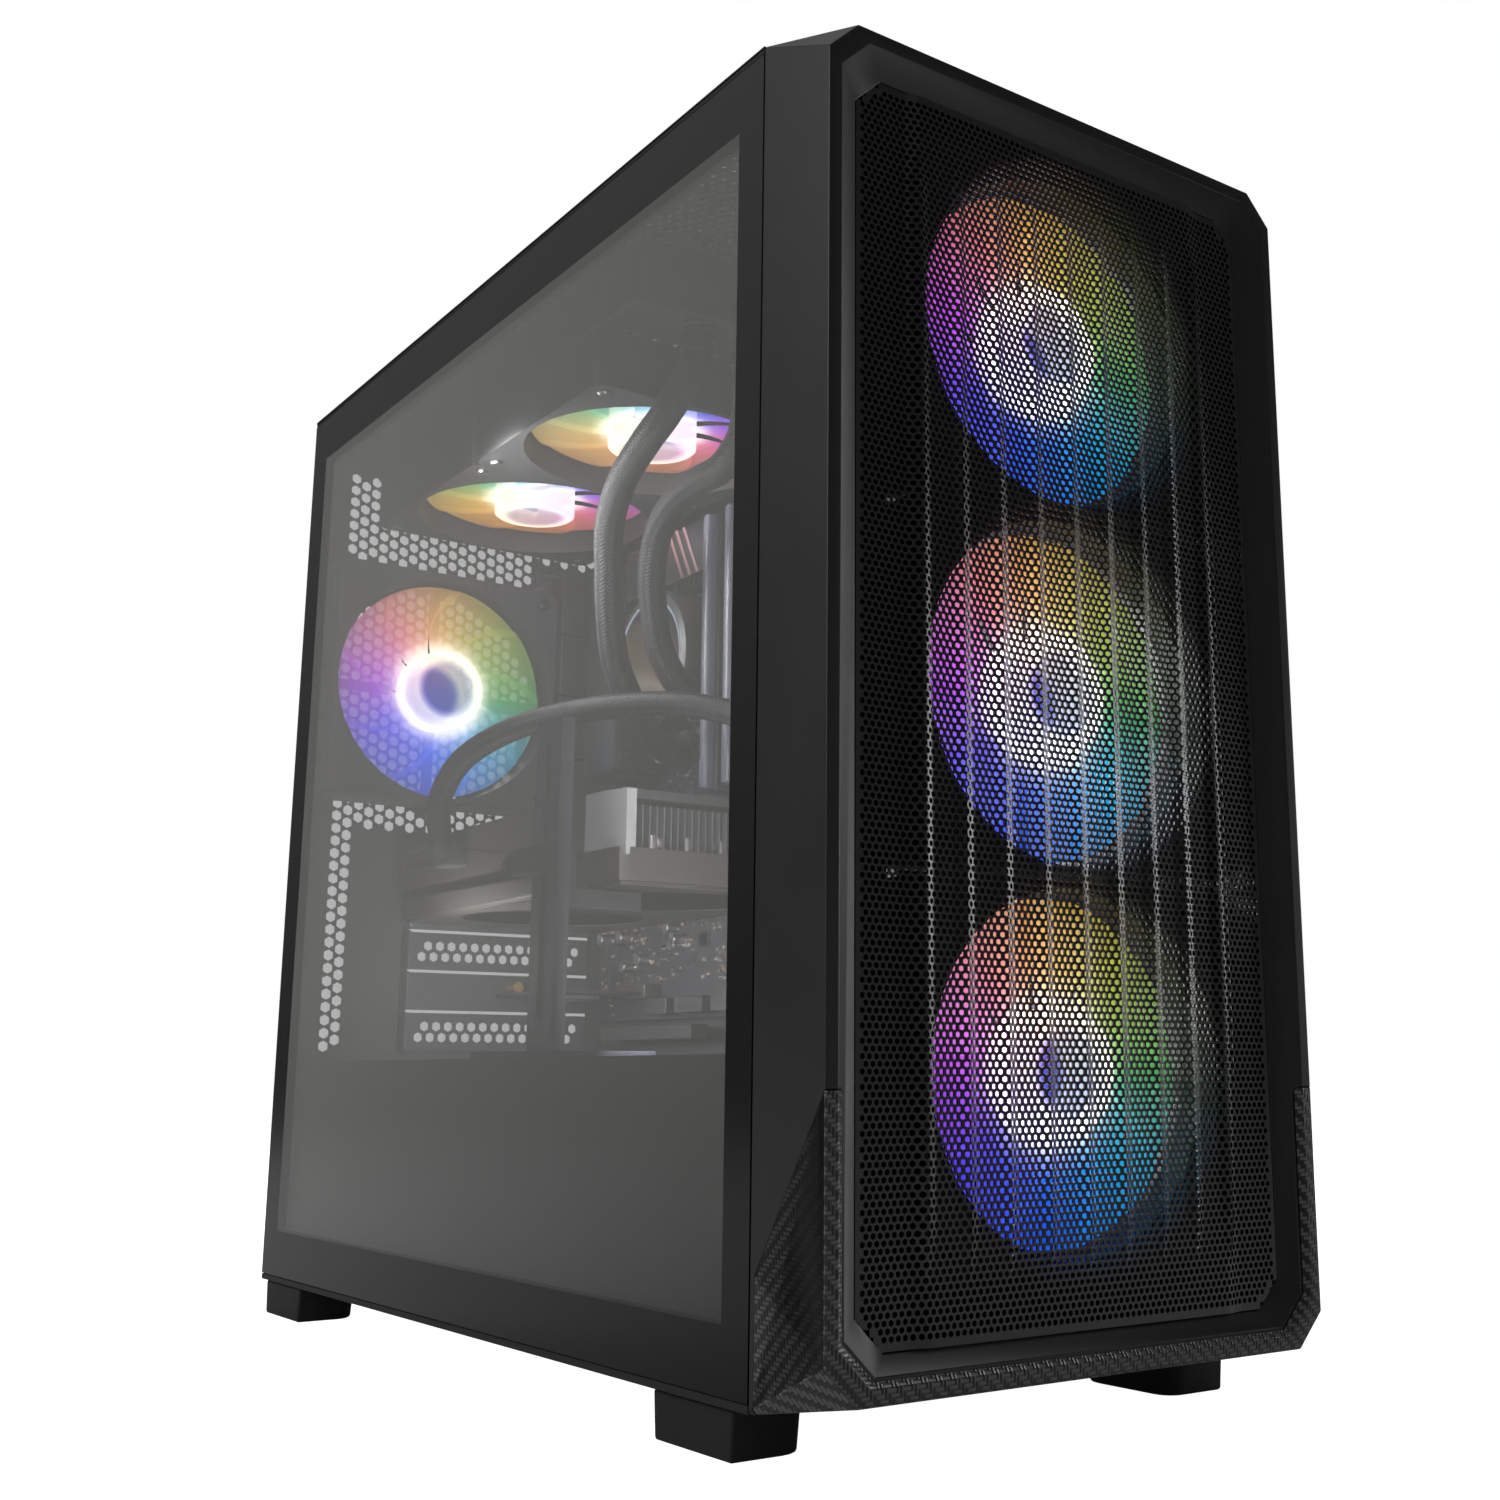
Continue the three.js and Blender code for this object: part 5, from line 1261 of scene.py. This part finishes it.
def makeBoard():
    # sheet, connectors, plates and sockets; small parts drawn evenly and kept where openSpot is true
    low, high = corners("mainboard")
    face = high[0] - board["sheet"]
    rear = high[1] - 2.95 * mm
    sheet = softBoxes([[face, low[1], low[2]]], [[high[0], rear, high[2]]], axis="x", corner=1.5 * mm,
                      edge=0.15 * mm)
    addPiece("boardSheet", [sheet], paint["board"], "chassis", ["mainboard"])

    # connector housings: a solid back and a front with two wells in each
    backs, fronts = [], []
    ioLeft, ioRear, ioTop = low[0], high[1], high[2] - 6 * mm
    for row in range(4):
        z = ioTop - (16 + 34 * row) * mm
        half = 16.4 * mm
        backs.append(box(ioLeft, face, ioRear - 26 * mm, ioRear - 12 * mm, z - half, z + half, axis="x",
                         corner=1 * mm, edge=0.5 * mm))
        wells = [rectLoop(z - 6.8 * mm, z + 6.8 * mm, ioLeft + a * mm, ioLeft + (a + 6.5) * mm)
                 for a in (8, 22)]
        fronts.append(cutPlate(rectLoop(z - half, z + half, ioLeft, face), wells, ioRear - 12 * mm,
                               ioRear - 0.2 * mm, "y"))
    addPiece("rearConnectors", backs + fronts, paint["heatPlate"])

    # heat plates beside and above the processor, with fins and three slanted lines
    plates = standing([(152, 186, 262, 374, 30, 0), (60, 148, 350, 377, 28, 0), (10, 62, 142, 180, 9, 0),
                       (66, 182, 227, 246, 6, 0)], face)
    addPiece("heatPlates", [softBoxes(*plates, axis="x", corner=3 * mm, edge=1.6 * mm, steps=4, rise=3)],
             paint["heatPlate"])
    finRows = [(150, 188, z, z + 1.4, 24, 2) for z in np.arange(266, 372, 4.2)]
    finRows += [(y, y + 1.4, 347, 379, 22, 2) for y in np.arange(64, 146, 4.2)]
    addPiece("heatFins", [hardBoxes(*standing(finRows, face))], paint["heatPlate"])
    slants = []
    for shift in (0, 7, 14):
        line = np.array([(350.5, 74 + shift), (376.5, 88 + shift), (376.5, 90.5 + shift),
                         (350.5, 76.5 + shift)])
        outline = line[:, ::-1] * mm
        slants.append(outlinePrism(outline, face - 28.4 * mm, face - 27.8 * mm, "x"))
    addPiece("plateLines", slants, paint["pinkAlloy"])

    # sockets and slots
    slots = [(y - 3.2, y + 3.2, 233, 372, 7, 0) for y in (23.55, 33, 42.5, 52)]
    slots += [(104, 196, 216, 223, 10, 0), (150, 180, 147.5, 154.5, 10, 0), (104, 196, 126.5, 133.5, 10, 0),
              (-23, -12, 262, 316, 12, 0), (-22, -14, 170, 190, 10, 0), (-22, -14, 200, 212, 10, 0),
              (96, 122, 139, 147, 9, 0), (130, 150, 139, 147, 9, 0), (66, 88, 139, 147, 9, 0),
              (-20, 4, 139, 145, 8, 0), (160, 182, 375, 380, 12, 0)]
    addPiece("boardSockets", [softBoxes(*standing(slots, face), axis="x", corner=0.6 * mm, edge=0.4 * mm,
                                        steps=2)], paint["connector"])

    # chips, chokes and small parts, placed by a seeded draw and kept off the large pieces
    draw = np.random.default_rng(board["seed"])
    blocked = [(54, 146, 262, 352), (150, 190, 255, 379), (58, 150, 346, 379), (16, 56, 230, 376),
               (100, 200, 214, 225), (64, 184, 225, 248), (8, 64, 140, 182), (-24, -11, 260, 318),
               (192, 222, 236, 380), (100, 200, 125, 156)]

    def openSpot(y, z, half):
        # true on the board where a square of this half width stays clear of every blocked area
        clear = np.ones(len(y), bool)
        for y0, y1, z0, z1 in blocked:
            clear &= ~((y > y0 - half) & (y < y1 + half) & (z > z0 - half) & (z < z1 + half))
        return clear & (y > -22) & (y < 214) & (z > 140) & (z < 378)

    y, z = draw.uniform(-24, 216, 400), draw.uniform(138, 380, 400)
    side = draw.choice([2.2, 3.0, 4.5, 6.0], 400)
    fits = np.flatnonzero(openSpot(y, z, side))[:board["chips"]]
    y, z, side = y[fits], z[fits], side[fits]
    rows = np.column_stack([y - side, y + side, z - side * 0.8, z + side * 0.8, 0.5 + side * 0.16, 0 * y])
    addPiece("chips", [softBoxes(*standing(rows, face), axis="x", edge=0.15 * mm, steps=2)], paint["chip"])
    y, z = draw.uniform(-24, 216, 2600), draw.uniform(138, 380, 2600)
    fits = np.flatnonzero(openSpot(y, z, 0.6))[:board["smallParts"]]
    y, z = y[fits], z[fits]
    long, across = draw.choice([0.5, 0.9, 1.5], len(y)), draw.choice([0.3, 0.5, 0.8], len(y))
    rows = np.column_stack([y - long, y + long, z - across, z + across, 0.5 + across, 0 * y])
    half = len(rows) // 2
    addPiece("smallParts", [hardBoxes(*standing(rows[:half], face))], paint["smallPart"])
    addPiece("solderPads", [hardBoxes(*standing(rows[half:] * [1, 1, 1, 1, 0.5, 1], face))], paint["solder"])
    y, z = draw.uniform(-20, 210, 900), draw.uniform(142, 376, 900)
    fits = np.flatnonzero(openSpot(y, z, 3.5))[:board["caps"]]
    can = np.array([(0.02, 0), (3.1, 0), (3.1, -1), (2.8, -1.4), (3.1, -1.8), (3.1, -7.4), (2.7, -8),
                    (0.02, -8)])
    spots = np.column_stack([np.full(len(fits), face), y[fits] * mm, z[fits] * mm])
    addPiece("capacitors", [lathes(can * mm, spots, "x", 14)], paint["fins"])
    chokes = [(144.5, 150.5, z, z + 7, 7, 0) for z in np.arange(268, 345, 9.5)]
    chokes += [(y, y + 7, 340, 346, 7, 0) for y in np.arange(66, 140, 9.5)]
    addPiece("chokes", [softBoxes(*standing(chokes, face), axis="x", corner=1 * mm, edge=0.5 * mm)],
             paint["greyAlloy"])
    disc = lathe([(0.02 * mm, face), (10 * mm, face), (10 * mm, face - 2.4 * mm), (9.2 * mm, face - 3 * mm),
                  (0.02 * mm, face - 3 * mm)], (0, 86 * mm, 196 * mm), "x", 36)
    addPiece("boardCell", [disc], paint["screwSteel"])


def makeMemory():
    # shell with a rib every 7 mm of its height, and a light bar along its outer edge
    for end in ("front", "rear"):
        node = f"memory_module_{end}"
        low, high = corners(node)
        bar = 6 * mm
        shell = softBoxes([[low[0] + bar, low[1], low[2]]], [[high[0], high[1], high[2]]], axis="y",
                          corner=1.2 * mm, edge=0.7 * mm, steps=4)
        ribs = np.arange(low[2] + 10 * mm, high[2] - 8 * mm, 7 * mm)
        a = np.column_stack([np.full(len(ribs), low[0] + bar + 3 * mm),
                             np.full(len(ribs), low[1] - 0.35 * mm), ribs])
        b = np.column_stack([np.full(len(ribs), high[0] - 9 * mm), np.full(len(ribs), high[1] + 0.35 * mm),
                             ribs + 3.2 * mm])
        plates = softBoxes(a, b, axis="y", corner=0.6 * mm, edge=0.3 * mm, steps=2)
        addPiece(f"memoryShell{end.title()}", [shell, plates], paint["heatPlate"], "chassis", [node])
        strip = softBoxes([[low[0], low[1] + 0.6 * mm, low[2] + 1 * mm]],
                          [[low[0] + bar + 0.4 * mm, high[1] - 0.6 * mm, high[2] - 1 * mm]], axis="z",
                          corner=2.2 * mm, edge=0.8 * mm, steps=5)
        addPiece(f"memoryLight{end.title()}", [strip],
                 litMaterial(f"memoryGlow{end}", (0.35, 0.45, 0.8), 0.035))


leads = {"Red": (0.35, 0.01, 0.01), "Green": (0.01, 0.2, 0.05), "White": (0.5, 0.5, 0.48),
         "Orange": (0.5, 0.12, 0.01), "Blue": (0.01, 0.04, 0.3), "Black": (0.01, 0.01, 0.01)}


def makeLeads():
    # pairs of leads 3.6 mm apart along y; twelve rows of two sleeved wires, 4.2 mm apart at the plug
    face = corners("mainboard")[1][0] - board["sheet"]
    for index, (name, color) in enumerate(leads.items()):
        runs = []
        for twin in (0, 1):
            y = (-18 + 3.6 * index + 1.8 * twin) * mm
            run = [(face - 7 * mm, y, 142 * mm), (face - 14 * mm, y, 141 * mm),
                   (face - 17 * mm, y - 5 * mm, (134 - index) * mm), (face - 12 * mm, y - 14 * mm, 126 * mm),
                   (face - 2 * mm, y - 20 * mm, 121 * mm), (face + 6 * mm, y - 22 * mm, 119.5 * mm)]
            runs.append(sweptTube(smoothPath(run, 40), 0.75 * mm, 8))
        addPiece(f"lead{name}", runs, grained(f"lead{name}Skin", color, 0.5, grain=1500, bump=0.1))
    # sleeved power wires from the tall connector at the board's front edge to the opening beside it
    wires = []
    for row in range(12):
        z = (266 + 4.2 * row) * mm
        for column in (0, 1):
            y = (-19.8 + 4.4 * column) * mm
            out = (21 - 5 * column) * mm
            run = [(face - 11 * mm, y, z), (face - out, y, z), (face - out - 2 * mm, y - 8 * mm, z),
                   (face - 12 * mm + 4 * mm * column, -36 * mm, (272 + 3.2 * row) * mm - 8 * mm),
                   (face + 4 * mm, (-41 + 3 * column) * mm, (272 + 2.4 * row) * mm - 16 * mm)]
            wires.append(sweptTube(smoothPath(run, 26), 1.7 * mm, 10))
    addPiece("boardPowerWires", wires, paint["connector"])
    plug = box(face - 22 * mm, face - 10.8 * mm, -22.4 * mm, -12.6 * mm, 262.6 * mm, 315.4 * mm, axis="x",
               corner=0.8 * mm, edge=0.5 * mm)
    addPiece("boardPowerPlug", [plug], paint["connector"])


paint["pinkAlloy"] = grained("pinkAlloy", (0.5, 0.33, 0.36), 0.3, metallic=0.9, grain=900, bump=0.05)
makeBoard()
makeMemory()
makeLeads()
print("mainboard ready")


# Graphics card, small cards and covers

def makeCard():
    # cover with two wells, skirt, fins at even steps, pipes, board, backplate, bracket and plug
    low, high = corners("card_cover")
    rotors = [sum(corners(f"card_fan_{end}_rotor")) / 2 for end in ("front", "rear")]
    skirt = 2.4 * mm
    deckTop = low[2] + 15 * mm
    wells = [circleLoop((fan[0], fan[1]), 44 * mm, 64) for fan in rotors]
    flat = roundCorners((high - low)[:2] / 2, 6 * mm) + (high + low)[:2] / 2
    inner = roundCorners((high - low)[:2] / 2 - 2.2 * mm, 4 * mm) + (high + low)[:2] / 2
    lipRings = [lathe([(43.2 * mm, low[2] + 0.6 * mm), (44.6 * mm, low[2] + 0.6 * mm), (44.6 * mm, low[2]),
                       (43.6 * mm, low[2]), (43.2 * mm, low[2] + 0.6 * mm)],
                      (fan[0], fan[1], 0), "z", 64) for fan in rotors]
    cover = [cutPlate(flat, wells, low[2] + 1.6 * mm, deckTop, "z"),
             cutPlate(inner, wells, low[2], low[2] + 1.6 * mm, "z"), *lipRings]
    # side skirt as seen from the window: slanted edges and a grille opening near its rear end
    y0, y1 = low[1] + 29 * mm, high[1]
    z0, z1 = deckTop - 6 * mm, high[2]
    outline = np.array([(y0, z0 + 4 * mm), (y0 + 40 * mm, z0), (y1 - 6 * mm, z0 + 2 * mm), (y1, z0 + 8 * mm),
                        (y1, z1 - 3 * mm), (y1 - 4 * mm, z1 - 1 * mm), (y0 + 50 * mm, z1), (y0, z1)])
    window = np.array([(y1 - 62 * mm, z1 - 15 * mm), (y1 - 8 * mm, z1 - 13 * mm), (y1 - 8 * mm, z1 - 5 * mm),
                       (y1 - 58 * mm, z1 - 5 * mm)])
    cover.append(cutPlate(outline, [window], low[0], low[0] + skirt, "x"))
    ridge = np.array([(y0 + 30 * mm, z0 + 5 * mm), (y1 - 70 * mm, z1 - 10 * mm), (y1 - 68 * mm, z1 - 9 * mm),
                      (y0 + 30 * mm, z0 + 6.4 * mm)])
    cover.append(outlinePrism(ridge, low[0] - 0.5 * mm, low[0] + 0.4 * mm, "x"))
    addPiece("cardShroud", cover, paint["cardPaint"], "chassis", ["card_cover"])
    block = np.array([(low[0], y0 - 0.3 * mm), (low[0], low[1] + 14 * mm),
                      (low[0] + 3.5 * mm, low[1] + 0.2 * mm),
                      (low[0] + 8 * mm, low[1] + 0.2 * mm), (low[0] + 8 * mm, low[1] + 2 * mm),
                      (low[0] + 6 * mm, low[1] + 3 * mm), (low[0] + 3 * mm, low[1] + 14 * mm),
                      (low[0] + 3 * mm, y0 - 0.3 * mm)])
    addPiece("cardCorner", [outlinePrism(block, deckTop - 3 * mm, high[2] - 0.2 * mm, "z")],
             paint["greyAlloy"])

    finLow, finHigh = corners("card_heatsink")
    xs = np.arange(finLow[0] + 6 * mm, finHigh[0] - 1 * mm, 3.3 * mm)
    ones = np.ones(len(xs))
    front = hardBoxes(np.column_stack([xs, ones * finLow[1] + 0.5 * mm, ones * finLow[2]]),
                      np.column_stack([xs + 0.6 * mm, ones * finLow[1] + 32 * mm, ones * finHigh[2]]))
    ys = np.arange(finLow[1] + 34 * mm, finHigh[1], 2.5 * mm)
    ones = np.ones(len(ys))
    rear = hardBoxes(np.column_stack([ones * finLow[0], ys, ones * finLow[2]]),
                     np.column_stack([ones * finHigh[0], ys + 0.5 * mm, ones * finHigh[2]]))
    pipes = [sweptTube(np.array([(x * mm, finLow[1] + 4 * mm, 202 * mm), (x * mm, 60 * mm, 202 * mm),
                                 (x * mm, finHigh[1] - 6 * mm, 202 * mm)]), 3 * mm, 14)
             for x in (-36, -20, -4, 12, 28, 44)]
    addPiece("cardFins", [front, rear, *pipes], paint["fins"], "chassis", ["card_heatsink"])

    boardLow, boardHigh = corners("card_board")
    addPiece("cardSheet", [softBoxes([boardLow], [boardHigh], corner=1 * mm, edge=0.15 * mm)], paint["board"],
             "chassis", ["card_board"])
    backLow, backHigh = corners("card_backplate")
    outline = roundCorners((backHigh - backLow)[:2] / 2, 5 * mm) + (backHigh + backLow)[:2] / 2
    vents = [rectLoop(x * mm, (x + 34) * mm, y * mm, (y + 2.4) * mm)
             for x in (-40, 4) for y in range(-12, 30, 6)]
    addPiece("cardBack", [cutPlate(outline, vents, backLow[2], backHigh[2], "z")], paint["powder"], "chassis",
             ["card_backplate"])

    # rear bracket with its display outlets
    low, high = corners("card_bracket")
    outlets = []
    top = corners("card_backplate")[1][2]
    left = low[0] + 4 * mm
    for index in range(4):
        x = left + (16 + 21 * index) * mm
        outlets.append(rectLoop(top - 31 * mm, top - 25 * mm, x, x + 17 * mm))
    vents = [circleLoop((top - 11 * mm + 4.4 * mm * (i % 2) - 4 * mm, left + (12 + 5.1 * i) * mm), 2.1 * mm,
                        6,
                        math.pi / 6) for i in range(16)]
    blade = cutPlate(rectLoop(low[2], high[2], low[0], high[0]), outlets + vents, high[1] - 0.9 * mm,
                     high[1], "y")
    tab = box(low[0], low[0] + 0.9 * mm, low[1], high[1], low[2], high[2], edge=0.2 * mm)
    addPiece("cardBracketPlate", [blade, tab], paint["steel"], "chassis", ["card_bracket"])
    cans = []
    for index in range(4):
        x = left + (16 + 21 * index) * mm
        outer = rectLoop(top - 31.4 * mm, top - 24.6 * mm, x - 0.4 * mm, x + 17.4 * mm)
        hole = rectLoop(top - 30.6 * mm, top - 25.4 * mm, x + 0.4 * mm, x + 16.6 * mm)
        cans.append(cutPlate(outer, [hole], high[1] - 10 * mm, high[1] + 0.5 * mm, "y"))
        cans.append(box(x + 2 * mm, x + 15 * mm, high[1] - 10 * mm, high[1] - 1 * mm, top - 28.6 * mm,
                        top - 27.4 * mm, axis="y", edge=0.2 * mm))
    addPiece("displaySockets", cans, paint["screwSteel"])
    end = routePoints(cardCable)[-1]
    plug = box(end[0] - 4 * mm, end[0] + 6 * mm, end[1] - 9 * mm, end[1] + 9 * mm, end[2] - 5 * mm,
               end[2] + 5 * mm, axis="x", corner=1 * mm, edge=0.6 * mm)
    addPiece("cardPowerPlug", [plug], paint["connector"])


def makeSlotCovers():
    # covers with two rows of 14 hexagons 6.4 mm apart; wireless card with its aerial sockets
    for name in ("upper", "lower"):
        low, high = corners(f"slot_cover_{name}")
        middle = (low[2] + high[2]) / 2
        holes = []
        for row, side in ((0, -1), (1, 1)):
            for index in range(14):
                x = low[0] + (11 + 6.4 * index + 3.2 * row) * mm
                holes.append(circleLoop((middle + side * 2.77 * mm, x), 2.6 * mm, 6))
        blade = cutPlate(rectLoop(low[2], high[2], low[0], high[0]), holes, high[1] - 0.9 * mm, high[1], "y")
        tab = box(low[0], low[0] + 0.9 * mm, low[1], high[1], low[2], high[2], edge=0.2 * mm)
        addPiece(f"slotCover{name.title()}", [blade, tab], paint["slotPaint"], "chassis",
                 [f"slot_cover_{name}"])
    low, high = corners("wireless_card")
    plateRear = corners("slot_cover_upper")[1][1]
    sheetLow, sheetHigh = 149.1 * mm, 150.7 * mm
    blade = box(low[0], corners("slot_cover_upper")[1][0], plateRear - 0.9 * mm, plateRear, low[2], high[2],
                axis="y", edge=0.2 * mm)
    tab = box(low[0], low[0] + 0.9 * mm, plateRear - 10.7 * mm, plateRear, low[2], high[2], edge=0.2 * mm)
    addPiece("wirelessBlade", [blade, tab], paint["slotPaint"], "chassis", ["wireless_card"])
    sheet = box(7 * mm, 63 * mm, plateRear - 70 * mm, plateRear - 0.6 * mm, sheetLow, sheetHigh,
                corner=1 * mm,
                edge=0.15 * mm)
    can = box(14 * mm, 40 * mm, plateRear - 55 * mm, plateRear - 24 * mm, sheetLow - 2.6 * mm,
              sheetLow + 0.1 * mm,
              corner=1.5 * mm, edge=0.4 * mm)
    addPiece("wirelessSheet", [sheet], paint["board"])
    addPiece("wirelessCan", [can], paint["steel"])
    thread = [(0.02 * mm, -8 * mm)]
    for step in range(12):
        thread += [(3.0 * mm, (-8 + step * 1.1) * mm), (2.65 * mm, (-7.45 + step * 1.1) * mm)]
    thread += [(2.9 * mm, 6.6 * mm), (1.5 * mm, 7.0 * mm), (1.3 * mm, 6.0 * mm), (0.02 * mm, 6.0 * mm)]
    thread = np.array(thread)
    aerials = []
    for x in (35 * mm, 17 * mm):
        aerials.append(lathe(thread + [0, plateRear + 0.3 * mm], (x, 0, 154.1 * mm), "y", 20))
        aerials.append(lathe([(0.02 * mm, plateRear), (4.6 * mm, plateRear), (4.6 * mm, plateRear + 1.6 * mm),
                              (0.02 * mm, plateRear + 1.6 * mm)], (x, 0, 154.1 * mm), "y", 6))
    addPiece("aerialSockets", aerials, paint["brass"])


def makeSupport():
    # post and arm from the CAD; knob: radius x (1 - 0.05 x (1 - cos 20 a) / 2)
    softCopy("supportPost", "card_support_post", paint["postPaint"], 0.3 * mm)
    softCopy("supportArm", "card_support_arm", paint["darkPlastic"], 0.4 * mm)
    low, high = corners("card_support_knob")
    middle = (low + high) / 2
    radius = (high[0] - low[0]) / 2
    profile = [(0.02 * mm, low[1]), (radius - 1 * mm, low[1]), (radius, low[1] + 0.8 * mm),
               (radius, high[1] - 0.8 * mm), (radius - 0.8 * mm, high[1]), (1.8 * mm, high[1]),
               (1.5 * mm, high[1] - 0.6 * mm), (0.02 * mm, high[1] - 0.6 * mm)]
    addPiece("supportKnob", [lathe(profile, (middle[0], 0, middle[2]), "y", 60,
                                   lambda angle: 1 - 0.05 * (0.5 - 0.5 * np.cos(20 * angle)))],
             paint["darkPlastic"], "support_knob", ["card_support_knob"])


def makeSupply():
    # grille: hexagons on rows 5.4 mm apart, every second row half of 6.2 mm on; rims, pins and rocker
    softCopy("supplyBody", "power_supply", paint["powder"], 0.5 * mm)
    low, high = corners("power_supply")
    plate = corners("rear_panel")
    inletX, rockerX, z = low[0] + 34 * mm, low[0] + 68 * mm, (low[2] + high[2]) / 2
    rows, columns = np.meshgrid(np.arange(-6, 7), np.arange(-1, 26), indexing="ij")
    spots = np.stack([z + rows * 5.4 * mm, low[0] + 14 * mm + (columns + 0.5 * (rows % 2)) * 6.2 * mm], -1)
    spots = spots.reshape(-1, 2)
    edge = 6.4 * mm
    fits = (spots[:, 0] > low[2] + edge + 3.5 * mm) & (spots[:, 0] < high[2] - edge - 3.5 * mm)
    fits &= (spots[:, 1] > low[0] + edge + 3.5 * mm) & (spots[:, 1] < high[0] - edge - 3.5 * mm)
    for x, half in ((inletX, 19 * mm), (rockerX, 12 * mm)):
        fits &= ~((np.abs(spots[:, 1] - x) < half) & (np.abs(spots[:, 0] - z) < 16 * mm))
    holes = [circleLoop(spot, 2.6 * mm, 6, math.pi / 6) for spot in spots[fits]]
    holes.append(rectLoop(z - 10 * mm, z + 10 * mm, inletX - 13.8 * mm, inletX + 13.8 * mm))
    holes.append(rectLoop(z - 10.5 * mm, z + 10.5 * mm, rockerX - 7 * mm, rockerX + 7 * mm))
    outline = rectLoop(low[2] + edge, high[2] - edge, low[0] + edge, high[0] - edge)
    grille = cutPlate(outline, holes, plate[0][1] + 0.05 * mm, plate[1][1] - 0.2 * mm, "y")
    addPiece("supplyGrille", [grille], paint["powder"])
    rims = []
    for x, a, b in ((inletX, 13.8, 10), (rockerX, 7, 10.5)):
        outer = roundCorners((( b + 2.2) * mm, (a + 2.2) * mm), 1.5 * mm) + np.array([z, x])
        inner = rectLoop(z - b * mm, z + b * mm, x - a * mm, x + a * mm)
        rims.append(cutPlate(outer, [inner], plate[1][1] - 0.3 * mm, plate[1][1] + 1.4 * mm, "y"))
    addPiece("supplyRims", rims, paint["darkPlastic"])
    pins = [(inletX - 7 * mm, z - 2 * mm), (inletX + 7 * mm, z - 2 * mm), (inletX, z + 3 * mm)]
    lows = [(x - 1 * mm, high[1] - 14.9 * mm, h - 2 * mm) for x, h in pins]
    highs = [(x + 1 * mm, high[1] - 1 * mm, h + 2 * mm) for x, h in pins]
    addPiece("inletPins", [softBoxes(lows, highs, axis="y", edge=0.4 * mm)], paint["screwSteel"])
    softCopy("supplyRocker", "supply_rocker", paint["darkPlastic"], 0.5 * mm)


paint["cardPaint"] = grained("cardPaint", (0.022, 0.02, 0.018), 0.42, specular=0.4, grain=2600, bump=0.15,
                             tone=0.1)
makeCard()
makeSlotCovers()
makeSupport()
makeSupply()
print("cards, support and supply ready")


# End

print("finishing")
